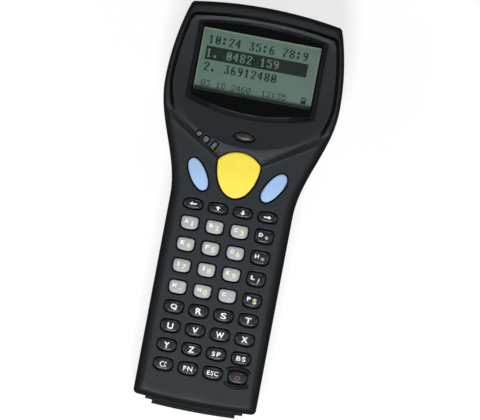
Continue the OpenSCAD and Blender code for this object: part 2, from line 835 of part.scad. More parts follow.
// Boards follow the shell at a margin
module board(z, half_max, y0, y1) {
    ys = [for (i = [0:16]) mix(y0, y1, i / 16)];
    right = [for (y = ys) [min(half_w(y) - wall - 1.0, half_max), y]];
    left = [for (i = [16:-1:0]) [-right[i].x, right[i].y]];
    translate([0, 0, z])
        difference() {
            linear_extrude(board_t)
                polygon(concat(right, left));
            for (p = screw_places)
                translate([p.x, p.y, -1])
                    cylinder(r = boss_r + run_gap, h = board_t + 2, $fn = 32);
        }
}
board_below = 6;   // boards reach this far below the last row of keys
board_above = 3;   // and this far above the upper posts
chip_drop = 30;    // lower edge of the memory below the start of the flare
chips = [
    [-8, y_neck + 8, 16, 12, 1.6],
    [-19, y_neck - chip_drop, 14, 20, 2.2],
    [6, y_neck - chip_drop + 4, 10, 8, 1.2]
];
module front_board() {
    color("#1f5a3a")
    board(front_board_z, lcd_half, row_y(8) - board_below, view_y + view_h + lcd_border);
}
module main_board() {
    color("#1f5a3a")
    union() {
        board(main_z, lcd_half, row_y(8) - board_below, head_post.y + board_above);
        // processor, memory and radio
        for (chip = chips)
            translate([chip[0], chip[1], main_z + board_t])
                cube([chip[2], chip[3], chip[4]]);
    }
}

beeper_r = 6;
beeper_hole_r = 1;
beeper_y = head_post.y - beeper_r - 2;
module beeper() {
    color("#18191b")
    translate([0, beeper_y, main_z + board_t])
        difference() {
            cylinder(r = beeper_r, h = board_space - run_gap, $fn = 48);
            translate([0, 0, board_space / 2])
                cylinder(r = beeper_hole_r, h = board_space, $fn = 24);
        }
}

module scan_engine() {
    color("#3a3c40")
    translate([0, engine_y, engine_z])
        difference() {
            union() {
                translate([-engine_w / 2, 0, 0])
                    cube([engine_w, engine_len - 3, engine_h]);
                translate([-engine_w / 2 + 1.5, engine_len - 4, 1.2])
                    cube([engine_w - 3, 4, engine_h - 2.4]);
            }
            translate([-engine_w / 2 + 4, engine_len - 6, 3])
                cube([engine_w - 8, 10, engine_h - 6]);
        }
}

module scan_window() {
    color([0.45, 0.05, 0.08, 0.6])
    translate([-scan_win_w / 2, scan_win_y, scan_win_z - scan_win_h / 2])
        cube([scan_win_w, scan_win_t, scan_win_h]);
}

battery_corner_r = 3;
module battery_pack() {
    color("#6f7378")
    translate([0, (battery_y0 + battery_y1) / 2, battery_z])
        linear_extrude(battery_t)
            polygon(rounded_rect(battery_w, battery_y1 - battery_y0, battery_corner_r));
}

contact_w = 15;
contact_len = 4;
contact_y = battery_y1 - 9;
module battery_contacts() {
    color("gold")
    translate([-contact_w / 2, contact_y, bay_z - 0.2])
        difference() {
            cube([contact_w, contact_len, main_z - bay_z + 0.2]);
            for (i = [-1:1])
                translate([contact_w / 2 + i * 4 - 1, -1, -1])
                    cube([2, contact_len + 2, 1.6]);
        }
}

module battery_cover() {
    color(BLACK)
    difference() {
        union() {
            translate([-cover_half, hinge_y, cover_z])
                cube([2 * cover_half, cover_y1 - hinge_y, cover_t]);
            // round hinge end and its pins
            hinge_bar(cover_half, cover_t / 2);
            hinge_bar(cover_half + hinge_pin_len, hinge_pin_r);
            // tab that the lock slide holds
            translate([-tab_half, cover_y1 - 0.6, cover_z + cover_t - eps])
                cube([2 * tab_half, 0.6, 1.8]);
            translate([-tab_half, cover_y1 - 0.6, cover_z + cover_t + 0.6])
                cube([2 * tab_half, 0.6 + tab_reach, 1.2]);
        }
        for (i = [0:4])
            translate([-12, cover_y1 - 6 - 2.4 * i, cover_z - 0.35])
                rotate([0, 90, 0])
                    cylinder(r = 0.8, h = 24, $fn = 24);
    }
}

module battery_lock() {
    color("#3b3e43")
    translate([0, lock_y, 0])
        difference() {
            union() {
                translate([-lock_w / 2, 0, cover_z + 0.1])
                    cube([lock_w, lock_len, wall - cover_z - 0.1]);
                for (s = [-1, 1]) {
                    translate([s * (lock_w / 2 - 0.9) - 0.9, 1, wall - eps])
                        cube([1.8, lock_len - 2, run_gap + 0.5]);
                    translate([s * (lock_w / 2) - 1.8, 1, wall + run_gap])
                        cube([3.6, lock_len - 2, 1]);
                }
            }
            for (i = [0:2])
                translate([-6, 1.7 + 2 * i, cover_z - 0.2])
                    rotate([0, 90, 0])
                        cylinder(r = 0.7, h = 12, $fn = 24);
        }
}

module dock_contacts() {
    color("gold")
    for (i = [-2:2])
        translate([i * pin_pitch, y_foot + 0.6 + bow(i * pin_pitch, foot_end_r / 2), foot_z + foot_h / 2])
            rotate([-90, 0, 0])
                cylinder(r = 1.1, h = 4, $fn = 24);
}

// A key: cap with a crowned top, ledge under the face, and stem over its dome
scan_crown_r = 75;
oval_crown_r = 48;
scan_stem = [6, 5];
oval_stem = [3, 3];
grid_stem = [3, 2];
module key(x, y, crown_r, stem) {
    intersection() {
        translate([0, 0, flange_z])
            linear_extrude(face_z + key_proud + 1 - flange_z)
                children(0);
        translate([x, y, face_z + key_proud - crown_r])
            sphere(r = crown_r, $fn = 180);
    }
    translate([0, 0, flange_z])
        linear_extrude(flange_t)
            children(1);
    translate([x - stem.x / 2, y - stem.y / 2, stem_z])
        cube([stem.x, stem.y, flange_z - stem_z + eps]);
}
function grid_color(r, c) = r >= 1 && r <= 4 && c < 3 ? "#c9c9ce" : "#22252a";
module grid_key(r, c) {
    color(grid_color(r, c))
    key(col_x(c), row_y(r), key_crown_r, grid_stem) {
        grid_plan(r, c, 0);
        grid_plan(r, c, key_ledge);
    }
}
module key_scan() {
    color("#f8e44f")
    key(0, scan_mid, scan_crown_r, scan_stem) {
        polygon(scan_outline(0));
        polygon(scan_outline(key_ledge));
    }
}
module key_oval(side) {
    color("#a9c9ef")
    key(side * oval_x, y_neck + oval_y, oval_crown_r, oval_stem) {
        oval_plan(side, 0);
        oval_plan(side, key_ledge);
    }
}

front_housing();
rear_housing();
housing_seal();
housing_screws();
display_lens();
lens_seal();
lcd_module();
lcd_bezel();
status_lens();
light_pipe();
keypad_mat();
front_board();
main_board();
beeper();
scan_engine();
scan_window();
battery_pack();
battery_contacts();
battery_cover();
battery_lock();
dock_contacts();
key_scan();
key_oval(-1);  // key_oval_left
key_oval(1);  // key_oval_right
for (r = [0:8])
    for (c = [0:3])
        grid_key(r, c);
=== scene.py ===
"""Dressed model of a handheld data terminal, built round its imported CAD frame.

Lengths are millimetres here and become metres where a mesh is made. x runs across the
terminal, y from its dock foot to its head, z from its back to its keys.
"""
import math
from collections import Counter

import bmesh
import bpy
import numpy as np
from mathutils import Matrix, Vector
from mathutils.geometry import delaunay_2d_cdt


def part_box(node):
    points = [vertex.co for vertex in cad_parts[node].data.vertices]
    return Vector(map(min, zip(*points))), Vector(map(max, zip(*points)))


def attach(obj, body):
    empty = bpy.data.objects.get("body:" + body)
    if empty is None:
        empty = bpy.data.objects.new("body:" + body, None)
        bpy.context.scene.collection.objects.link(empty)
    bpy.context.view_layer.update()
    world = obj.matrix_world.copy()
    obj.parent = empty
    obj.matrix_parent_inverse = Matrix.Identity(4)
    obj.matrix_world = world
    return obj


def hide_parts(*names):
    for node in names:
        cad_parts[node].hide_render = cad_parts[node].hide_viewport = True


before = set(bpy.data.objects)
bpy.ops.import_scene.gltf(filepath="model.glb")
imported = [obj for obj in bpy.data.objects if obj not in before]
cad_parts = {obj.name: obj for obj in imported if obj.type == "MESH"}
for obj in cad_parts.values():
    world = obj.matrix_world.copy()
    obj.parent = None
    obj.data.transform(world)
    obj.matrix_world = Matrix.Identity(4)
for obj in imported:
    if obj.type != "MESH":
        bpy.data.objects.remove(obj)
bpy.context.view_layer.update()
MM = 0.001


def box(node):
    """Low and high corner of a CAD node, in millimetres."""
    low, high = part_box(node)
    return np.array(low) / MM, np.array(high) / MM


# ---------------------------------------------------------------- sizes, from the frame
FRONT_LOW, FRONT_HIGH = box("front_housing")
REAR_HIGH = box("rear_housing")[1]
LENS_LOW, LENS_HIGH = box("display_lens")
COVER_LOW = box("battery_cover")[0]
LOCK_LOW, LOCK_HIGH = box("battery_lock")
LCD_LOW, LCD_HIGH = box("lcd_module")
WINDOW_LOW, WINDOW_HIGH = box("scan_window")
BATTERY_LOW, BATTERY_HIGH = box("battery_pack")
SEAL_LOW, SEAL_HIGH = box("housing_seal")

Y_TOP = REAR_HIGH[1]
Y_SHELL = FRONT_LOW[1]
HEAD_HALF = FRONT_HIGH[0]
HEAD_LEN = 36.6
FLARE_LEN = 48
Y_WIDE = Y_TOP - HEAD_LEN
Y_NECK = Y_WIDE - FLARE_LEN
HANDLE_HALF = 26.045
CORNER_R = 2.0
HEAD_SIDE_R = 111
TOP_END_R = 185
FOOT_END_R = 284
END_BLEND = 25

HANDLE_ROUND = 4.2
HEAD_ROUND = 1.4
FOOT_ROUND = 3.1
EDGE_DROP = 5.2
TOP_END_MORE = 0.9
BACK_ROUND = 5.6
BACK_DROP = 6.5
WALL = 2.0
HEAD_Z = 36.0
MID_WALL_Z = 24.5
FACE_Z = HEAD_Z - 2.4
HEAD_RISE = HEAD_Z - FACE_Z
CEIL_Z = FACE_Z - WALL
STATUS_Z = HEAD_Z - 1.1
DISH_R = 350
DISH_Z = 34.15
TOP_LIFT = 0.75
TOP_LIFT_REACH = 3.8
SEAM_Z = SEAL_LOW[2]
SEAM_TOP = SEAL_HIGH[2]

CREASE_Y = Y_NECK + 31
CREST_Y = Y_NECK + 37.3
CREST_BOW = 12.4
V_Y = Y_NECK + 12.8

VIEW_W = 49.8
VIEW_H = 26.2
VIEW_Y = Y_WIDE - 2.1
VIEW_MID = VIEW_Y + VIEW_H / 2
LENS_HALF = VIEW_W / 2 + 0.7
LENS_SLOPE = 1.6
RIM_SIDE = 2.7
RIM_TOP = 4.7

KEY_GAP = 0.52
KEY_LEDGE = 0.9
KEY_PROUD = 0.9
KEY_CROWN_R = 75
OVAL_CROWN_R = 90
SCAN_CROWN_R = 190
LIP_R = 0.26
BROW_LIP = 0.35
STATUS_GAP = 0.45
LIGHT_GAP = 0.42

KEY_ROWS = [
    ["key_left", "key_up", "key_down", "key_right"],
    ["key_1", "key_2", "key_3", "key_plus"],
    ["key_4", "key_5", "key_6", "key_star"],
    ["key_7", "key_8", "key_9", "key_slash"],
    ["key_minus", "key_0", "key_point", "key_currency"],
    ["key_q", "key_r", "key_s", "key_t"],
    ["key_u", "key_v", "key_w", "key_x"],
    ["key_y", "key_z", "key_space", "key_back"],
    ["key_alpha", "key_fn", "key_esc", "key_power"],
]


# ---------------------------------------------------------------- small maths
def ramp(v, a, b):
    return np.clip((np.asarray(v, float) - a) / (b - a), 0, 1)


def smooth(t):
    t = np.clip(t, 0, 1)
    return t * t * (3 - 2 * t)


def soft_max(a, b, k):
    return (a + b + np.sqrt((a - b) ** 2 + k * k)) / 2


def soft_min(a, b, k):
    return -soft_max(-a, -b, k)


def bow(x, r):
    return r - np.sqrt(r * r - np.asarray(x, float) ** 2)


def bow_r(half, rise):
    return (half * half + rise * rise) / (2 * rise)


def mirrored(side):
    """Closed loop from its right half, which starts and ends on the middle line."""
    side = np.array(side, float)
    return np.vstack([side, side[-2:0:-1] * [-1, 1]])


def grown(loop, d):
    """A smooth closed loop moved outwards by d along its own normals."""
    along = np.roll(loop, -1, 0) - np.roll(loop, 1, 0)
    normal = np.stack([along[:, 1], -along[:, 0]], 1)
    normal /= np.linalg.norm(normal, axis=1)[:, None]
    return loop + normal * np.reshape(d, (-1, 1))


def signed_distance(points, loop):
    """Distance to a closed loop, positive inside it."""
    a, b = loop, np.roll(loop, -1, 0)
    out = np.empty(len(points))
    for start in range(0, len(points), 4000):
        p = points[start:start + 4000, None, :]
        ab = b - a
        t = np.clip(((p - a) * ab).sum(2) / (ab * ab).sum(1), 0, 1)
        near = np.linalg.norm(p - (a + t[..., None] * ab), axis=2).min(1)
        y, x = p[..., 1], p[..., 0]
        crosses = (a[:, 1] > y) != (b[:, 1] > y)
        rise = np.where(b[:, 1] == a[:, 1], 1, b[:, 1] - a[:, 1])
        at = (b[:, 0] - a[:, 0]) * (y - a[:, 1]) / rise + a[:, 0]
        inside = (crosses & (x < at)).sum(1) % 2 == 1
        out[start:start + 4000] = np.where(inside, near, -near)
    return out


# ---------------------------------------------------------------- outlines, as in the part
def half_w(y):
    y = np.asarray(y, float)
    flare = (1 - np.cos(np.pi * ramp(y, Y_NECK, Y_WIDE))) / 2
    handle = HANDLE_HALF + (HEAD_HALF - HANDLE_HALF) * flare
    return np.where(y >= Y_WIDE, HEAD_HALF - bow(np.maximum(y - Y_WIDE, 0), HEAD_SIDE_R), handle)


def plan_outline():
    foot_x = HANDLE_HALF - CORNER_R
    top_x = float(half_w(Y_TOP - 2 * CORNER_R)) - CORNER_R
    foot_y = Y_SHELL + float(bow(foot_x, FOOT_END_R)) + CORNER_R
    top_y = Y_TOP - float(bow(top_x, TOP_END_R)) - CORNER_R
    right = [[x, Y_SHELL + bow(x, FOOT_END_R)] for x in np.linspace(0, foot_x, 22)[:-1]]
    right += [[foot_x + CORNER_R * math.cos(a), foot_y + CORNER_R * math.sin(a)]
              for a in np.radians(np.linspace(-90, 0, 9))]
    right += [[HANDLE_HALF, y] for y in np.linspace(foot_y, Y_NECK, 42)[1:-1]]
    right += [[half_w(y), y] for y in np.linspace(Y_NECK, Y_WIDE, 56)[:-1]]
    right += [[half_w(y), y] for y in np.linspace(Y_WIDE, top_y, 22)[:-1]]
    right += [[top_x + CORNER_R * math.cos(a), top_y + CORNER_R * math.sin(a)]
              for a in np.radians(np.linspace(6, 90, 9))]
    right += [[x, Y_TOP - bow(x, TOP_END_R)] for x in np.linspace(top_x, 0, 26)[1:]]
    return mirrored(right)


PLAN = plan_outline()


def inset(loop, d):
    y = loop[:, 1]
    moved = y - d * ramp(y, Y_TOP - END_BLEND, Y_TOP) + d * ramp(-y, -Y_SHELL - END_BLEND, -Y_SHELL)
    return np.stack([loop[:, 0] * (1 - d / half_w(y)), moved], 1)


def ring(d, z):
    """The plan drawn in by d, at height z. Both may differ from point to point."""
    flat = inset(PLAN, np.broadcast_to(d, len(PLAN)))
    return np.column_stack([flat, np.broadcast_to(z, len(PLAN))])


def rise_at(y):
    """Height of the rounded edge over the key face: it climbs to the head with soft ends."""
    climb = HEAD_RISE * (np.asarray(y, float) - CREASE_Y) / (CREST_Y - CREASE_Y)
    return soft_min(soft_max(climb, 0, 0.3), HEAD_RISE, 0.3)


def edge_in(y):
    """How far in the rounded edge reaches: least round the head, a little less at the foot."""
    foot = (FOOT_ROUND - HANDLE_ROUND) * ramp(-np.asarray(y, float), 76, 83)
    return HANDLE_ROUND + (HEAD_ROUND - HANDLE_ROUND) * ramp(y, CREASE_Y, CREST_Y) + foot


CREST_HALF = float(half_w(CREST_Y)) - 2.2
CREST_R = bow_r(CREST_HALF, CREST_BOW)
PANEL_LOW_X = CREST_HALF - 1.4
PANEL_LOW_N = 70


def panel_half(y):
    return half_w(y) - RIM_SIDE - 1.3 * ramp(-np.asarray(y, float), -Y_WIDE, -CREST_Y)


def panel_outline(d):
    y1 = Y_TOP - RIM_TOP - float(bow(PANEL_LOW_X, TOP_END_R)) - d
    x1 = float(panel_half(y1)) - d - 1.5
    y0 = CREST_Y - CREST_BOW + float(bow(PANEL_LOW_X, CREST_R)) + d
    x0 = PANEL_LOW_X - d
    right = [[x, y0 - bow(x0, CREST_R) + bow(x, CREST_R)] for x in np.linspace(0, x0, PANEL_LOW_N)[:-1]]
    right += [[panel_half(y) - d, y] for y in np.linspace(y0, y1 - 1.5, 34)]
    corner = np.linspace(0, 90, 7)[1:-1]
    right += [[x1 + 1.5 * math.cos(a), y1 - 1.5 + 1.5 * math.sin(a)] for a in np.radians(corner)]
    right += [[x, y1 + bow(x1, TOP_END_R) - bow(x, TOP_END_R)] for x in np.linspace(x1, 0, 26)]
    return mirrored(right)


def eye_outline(d):
    half = LENS_HALF + d
    low = VIEW_Y - 6.8 - d
    high = VIEW_Y + VIEW_H + 4.1 + d / 2
    low_r = bow_r(half, 4.8)
    high_r = bow_r(half, 2.6)
    across = np.linspace(0, half, 24)
    right = [[x, low + bow(x, low_r)] for x in across]
    right += [[half, y] for y in np.linspace(low + 4.8, high - 2.6, 26)[1:-1]]
    right += [[x, high - bow(x, high_r)] for x in across[::-1]]
    return mirrored(right)


def squircle(w, h, m_top, m_low, n=64):
    a = np.arange(n) * 2 * np.pi / n
    k = 2 / np.where(np.sin(a) >= -1e-9, m_top, m_low)
    x = w / 2 * np.sign(np.cos(a)) * np.abs(np.cos(a)) ** k
    y = h / 2 * np.sign(np.sin(a)) * np.abs(np.sin(a)) ** k
    return np.stack([x, y], 1)


def rounded_rect(w, h, r, n=5):
    loop = []
    for q, (sx, sy) in enumerate([(1, 1), (-1, 1), (-1, -1), (1, -1)]):
        for a in np.radians(np.linspace(90 * q, 90 * q + 90, n)):
            loop.append([sx * (w / 2 - r) + r * math.cos(a), sy * (h / 2 - r) + r * math.sin(a)])
    return np.array(loop)


def placed(loop, x, y, lean=0.0):
    c, s = math.cos(math.radians(lean)), math.sin(math.radians(lean))
    return loop @ np.array([[c, s], [-s, c]]) + [x, y]


ROW_SHAPES = [(7.4, 3.9, 3, 3)] + 4 * [(7.0, 5.3, 5, 3)] + 4 * [(7.4, 4.7, 3.8, 2.7)]
SCAN_HALF = 9.0
SCAN_TAIL = 14.2
SCAN_MID = Y_NECK + 3.9 + SCAN_TAIL
SCAN_SHOULDER = SCAN_MID + 0.8
SCAN_BOW = 4.3
OVAL_LEAN = 58


def centre(node):
    low, high = box(node)
    return (low[0] + high[0]) / 2, (low[1] + high[1]) / 2


def grid_outline(r, name, d):
    w, h, m_top, m_low = ROW_SHAPES[r]
    return placed(squircle(w + 2 * d, h + 2 * d, m_top, m_low), *centre(name))


def scan_outline(d):
    half = SCAN_HALF + d
    r = bow_r(half, SCAN_BOW + d / 2)
    loop = [[half * math.cos(a), SCAN_MID + (SCAN_TAIL + d) * math.sin(a)]
            for a in np.radians(np.linspace(180, 360, 61))]
    top = SCAN_SHOULDER + SCAN_BOW + d / 2
    loop += [[half, y] for y in np.linspace(SCAN_MID, SCAN_SHOULDER, 4)[1:-1]]
    loop += [[x, top - bow(x, r)] for x in np.linspace(half, -half, 41)]
    loop += [[-half, y] for y in np.linspace(SCAN_SHOULDER, SCAN_MID, 4)[1:-1]]
    loop = np.array(loop)
    for _ in range(3):  # eases the two shoulder corners
        corner = np.abs(loop[:, 1] - SCAN_SHOULDER) < 1.1
        eased = (np.roll(loop, 1, 0) + 2 * loop + np.roll(loop, -1, 0)) / 4
        loop = np.where(corner[:, None], eased, loop)
    return loop


def oval_outline(side, d):
    name = "key_oval_right" if side > 0 else "key_oval_left"
    return placed(squircle(14.4 + 2 * d, 6.5 + 2 * d, 2.2, 2.2, 80), *centre(name), side * OVAL_LEAN)


STATUS_Y = CREST_Y - CREST_BOW + 4.8
# Place, width, height, lean and squareness of each indicator window
LIGHTS = [
    (-18.8, CREST_Y - 9.4, 2.1, 2.1, 0, 2),
    (-15.6, CREST_Y - 11.2, 2.3, 2.3, -30, 6),
    (-11.8, CREST_Y - 13.3, 1.7, 3.2, -28, 6),
]


def status_outline(d):
    return placed(squircle(8.4 + 2 * d, 3.4 + 2 * d, 1.9, 1.9), 0, STATUS_Y)


def light_outline(i, d):
    x, y, w, h, lean, m = LIGHTS[i]
    return placed(squircle(w + 2 * d, h + 2 * d, m, m, 40), x, y, lean)


# ---------------------------------------------------------------- height of the key side
POWER_X, POWER_Y = centre("key_power")


def band_line():
    """Far end of the band's cone, from the crest's middle to the end of the crease."""
    x = np.linspace(0, CREST_HALF, 60)
    crest = np.stack([x, CREST_Y - CREST_BOW + bow(x, CREST_R), np.full(60, HEAD_RISE)], 1)
    y = np.linspace(CREST_Y, CREASE_Y, 24)[1:]
    climb = HEAD_RISE * ramp(y, CREASE_Y, CREST_Y)
    side = np.stack([half_w(y) - edge_in(y), y, climb], 1)
    line = np.vstack([crest, side])
    return np.arctan2(line[:, 0], line[:, 1] - V_Y), np.hypot(line[:, 0], line[:, 1] - V_Y), line[:, 2]


BAND_ANGLE, BAND_REACH, BAND_RISE = band_line()
CREASE_ANGLE = BAND_ANGLE[-1]
CREASE_STEEP = (BAND_RISE[-4] - BAND_RISE[-1]) / (BAND_ANGLE[-1] - BAND_ANGLE[-4])
PANEL_EDGE = panel_outline(0)
GROOVE_HALF = 0.7
GROOVE_DEPTH = 1.8
CREST_FALL = 1.1
SIDE_FALL = 0.3
GUARD_R = 8.7
GUARD_RISE = 4.05
GUARD_HALF_DEG = 34
GUARD_HIGH = 0.3
GUARD_RIDGE_HALF = 0.3
GUARD_MOAT = 0.36
GUARD_MOAT_OFF = 0.6
GUARD_MOAT_HALF = 0.16
GUARD_END_DEG = 3.5


def guard_height(points):
    """Two low arcs that keep a thumb off the power key, each between two narrow moats."""
    total = np.zeros(len(points))
    for turn in (1, -1):
        away = points - [POWER_X, POWER_Y + turn * (GUARD_RISE - GUARD_R)]
        off = np.abs(np.hypot(away[:, 0], away[:, 1]) - GUARD_R)
        swing = np.degrees(np.arctan2(away[:, 0], turn * away[:, 1]))
        ends = smooth((GUARD_HALF_DEG - np.abs(swing)) / GUARD_END_DEG + 0.5)
        ridge = GUARD_HIGH * smooth(1.4 - off / GUARD_RIDGE_HALF)
        moat = GUARD_MOAT * smooth(1.4 - np.abs(off - GUARD_MOAT_OFF) / GUARD_MOAT_HALF)
        total += (ridge - moat) * ends * (off < 2)
    return total


def key_side_height(points):
    """Height of the face: flat at the keys, a cone up to the crest, and the dished, grooved panel."""
    x, y = np.abs(points[:, 0]), points[:, 1]
    angle = np.arctan2(x, y - V_Y)
    far = np.interp(angle, BAND_ANGLE, BAND_REACH)
    rise = np.interp(angle, BAND_ANGLE, BAND_RISE)
    rise = np.where(angle > CREASE_ANGLE, -CREASE_STEEP * (angle - CREASE_ANGLE), rise)
    cone = rise / far * np.hypot(x, y - V_Y)
    z = FACE_Z + soft_min(soft_max(cone, 0, 0.3), HEAD_RISE, 0.35)
    depth = signed_distance(points, PANEL_EDGE)
    sides = ramp(y, CREST_Y - 2, CREST_Y + 3)
    fall = CREST_FALL + (SIDE_FALL - CREST_FALL) * sides
    dish = DISH_Z + (x * x + (y - VIEW_MID) ** 2) / (2 * DISH_R)
    top = ramp(y, VIEW_Y + VIEW_H, VIEW_Y + VIEW_H + 4)
    dish = dish + TOP_LIFT * top * (1 - ramp(depth, 0, TOP_LIFT_REACH)) ** 1.3
    z = z + (np.minimum(dish, z) - z) * smooth(depth / fall)
    groove = np.clip(1 - np.abs(depth) / GROOVE_HALF, 0, 1) ** 0.7
    z = z - groove * sides * GROOVE_DEPTH
    near = (np.abs(points[:, 0] - POWER_X) < GUARD_R) & (y < POWER_Y + GUARD_R)
    z[near] += guard_height(points[near])
    return z


def on_face(line):
    """A loop or line laid on the key side."""
    return flat_ring(line, key_side_height(line))


# ---------------------------------------------------------------- meshes
class Shell:
    """Vertices and faces of one mesh, gathered from rings and flat cuts."""

    def __init__(self):
        self.points = []
        self.faces = []
        self.finish = []

    def add(self, points, faces, finish=0):
        base = len(self.points)
        self.points.extend(map(tuple, points))
        self.faces.extend([base + i for i in f] for f in faces)
        self.finish.extend([finish] * len(faces))

    def loft(self, rings, low_cap=False, high_cap=False, finish=0, closed=True):
        n = len(rings[0])
        quads = [[k * n + i, k * n + (i + 1) % n, (k + 1) * n + (i + 1) % n, (k + 1) * n + i]
                 for k in range(len(rings) - 1) for i in range(n if closed else n - 1)]
        if low_cap:
            quads.append(list(range(n))[::-1])
        if high_cap:
            quads.append([(len(rings) - 1) * n + i for i in range(n)])
        self.add(np.vstack(rings), quads, finish)

    def tube(self, rings):
        """A closed band: rings that run round and meet again."""
        self.loft(list(rings) + [rings[0]])

    def sheet(self, outer, holes, loose=()):
        """Flat-cut sheet between an outer loop and holes, with loose points in it."""
        loops = [outer, *holes]
        edges = []
        base = 0
        for loop in loops:
            n = len(loop)
            edges += [(base + i, base + (i + 1) % n) for i in range(n)]
            base += n
        points = np.array([p for loop in loops for p in loop] + list(loose), float)
        flat = [Vector((p[0], p[1])) for p in points]
        verts, _, tris, source, _, _ = delaunay_2d_cdt(flat, edges, [], 0, 1e-5, True)
        found = np.array([points[s[0]] for s in source])
        tris = np.array([t for t in tris if len(t) == 3])
        middle = found[tris][:, :, :2].mean(1)
        keep = signed_distance(middle, np.array(outer)[:, :2]) > 0
        for hole in holes:
            hole = np.array(hole)[:, :2]
            near = np.all(middle > hole.min(0), 1) & np.all(middle < hole.max(0), 1) & keep
            keep[near] = signed_distance(middle[near], hole) < 0
        self.add(found, tris[keep].tolist())

    def object(self, name, materials, weld=True, sharp=40):
        """The gathered mesh as an object, its shared points welded and its faces turned outwards."""
        mesh = bpy.data.meshes.new(name)
        mesh.from_pydata((np.array(self.points) * MM).tolist(), [], self.faces)
        mesh.polygons.foreach_set("material_index", self.finish)
        bm = bmesh.new()
        bm.from_mesh(mesh)
        if weld:
            bmesh.ops.remove_doubles(bm, verts=bm.verts, dist=2e-7)
            bmesh.ops.dissolve_degenerate(bm, edges=bm.edges, dist=1e-7)
        bmesh.ops.recalc_face_normals(bm, faces=bm.faces)
        bm.to_mesh(mesh)
        bm.free()
        for material in materials:
            mesh.materials.append(material)
        return smoothed(linked(name, mesh), sharp)


def solid(name, rings, *materials):
    """Closed piece through its rings, with both ends capped."""
    shell = Shell()
    shell.loft(rings, True, True)
    return shell.object(name, materials)


def linked(name, data):
    """A new object in the scene, at the origin and unturned."""
    obj = bpy.data.objects.new(name, data)
    bpy.context.scene.collection.objects.link(obj)
    return obj


def smoothed(obj, sharp):
    """Smooth faces, with an edge wherever they meet at more than so many degrees."""
    obj.data.polygons.foreach_set("use_smooth", [True] * len(obj.data.polygons))
    obj.data.set_sharp_from_angle(angle=math.radians(sharp))
    return obj


def dress(obj, body, node):
    """The piece rides on its body, in the place of its CAD node if it has one of its own."""
    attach(obj, body)
    if node:
        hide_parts(node)


def flat_ring(loop, z):
    """Points drawn in x and y, at one height or each at its own."""
    return np.column_stack([loop, np.broadcast_to(z, len(loop))])


def stood(loop, y):
    """A loop drawn in x and z, stood up at y."""
    return np.column_stack([loop[:, 0], np.full(len(loop), y), loop[:, 1]])


def circle(n):
    """Points round a circle of radius 1."""
    turn = np.arange(n) * 2 * np.pi / n
    return np.stack([np.cos(turn), np.sin(turn)], 1)


# Width of the flat strip that keeps a plate flat next to its rounded edge
FLAT_RIM = 0.1


def slab_rings(loop, z0, z1, r_low=0.0, r_high=0.0, steps=4):
    """Rings of a plate with rounded edges, from its underside to its top."""
    quarter = [(1 - math.cos(a), 1 - math.sin(a)) for a in np.radians(np.linspace(90, 0, steps + 1))]
    low = [flat_ring(loop, z0)]
    high = [flat_ring(loop, z1)]
    if r_low:
        low = [flat_ring(grown(loop, -r_low - FLAT_RIM), z0)]
        low += [flat_ring(grown(loop, -r_low * i), z0 + r_low * d) for i, d in quarter]
    if r_high:
        high = [flat_ring(grown(loop, -r_high * i), z1 - r_high * d) for i, d in quarter[::-1]]
        high.append(flat_ring(grown(loop, -r_high - FLAT_RIM), z1))
    return low + high


def cut(obj, cutters, operation="DIFFERENCE"):
    """Cuts other closed meshes out of obj, or joins them to it, and removes them."""
    for cutter in cutters:
        m = obj.modifiers.new("cut", "BOOLEAN")
        m.object = cutter
        m.operation = operation
        m.solver = "EXACT"
    return plain(obj, cutters)


def plain(obj, spent=()):
    """The object with its modifiers turned into a plain mesh."""
    graph = bpy.context.evaluated_depsgraph_get()
    graph.update()
    mesh = bpy.data.meshes.new_from_object(obj.evaluated_get(graph))
    obj.modifiers.clear()
    obj.data = mesh
    for other in spent:
        bpy.data.objects.remove(other)
    return obj


def block(name, low, high, r=0.0):
    """Box between two corners with rounded upright edges, as a cutter."""
    low, high = np.array(low, float), np.array(high, float)
    w, h = (high - low)[:2]
    loop = rounded_rect(w, h, r) if r else np.array([[w, h], [-w, h], [-w, -h], [w, -h]]) / 2
    loop = loop + (low + high)[:2] / 2
    return solid(name, [flat_ring(loop, low[2]), flat_ring(loop, high[2])])


def bar(name, half, y, z, r, n=48, cap_r=0.0):
    """Round bar along x, its ends eased by cap_r."""
    ends = [(-half, r - cap_r), (-half + cap_r, r), (half - cap_r, r), (half, r - cap_r)]
    return solid(name, [np.column_stack([np.full(n, x), circle(n) * s + [y, z]]) for x, s in ends])


# ---------------------------------------------------------------- colours and node trees
def linear(colour):
    parts = [int(colour[i:i + 2], 16) / 255 for i in (1, 3, 5)]
    return [c / 12.92 if c <= 0.04045 else ((c + 0.055) / 1.055) ** 2.4 for c in parts] + [1.0]


def add(tree, kind, inputs=None, **settings):
    """Adds a node with its settings, and links or sets its inputs by name or number."""
    n = tree.nodes.new(kind)
    for key, value in settings.items():
        setattr(n, key, value)
    for key, value in (inputs or {}).items():
        if isinstance(value, bpy.types.NodeSocket):
            tree.links.new(value, n.inputs[key])
        elif isinstance(value, str) and value.startswith("#"):
            n.inputs[key].default_value = linear(value)
        else:
            n.inputs[key].default_value = value
    return n


def new_material(name):
    m = bpy.data.materials.new(name)
    m.use_nodes = True
    m.node_tree.nodes.clear()
    return m, m.node_tree


# Sockets of the Mix node when it mixes colours
MIX_A, MIX_B, MIX_OUT = 6, 7, 2


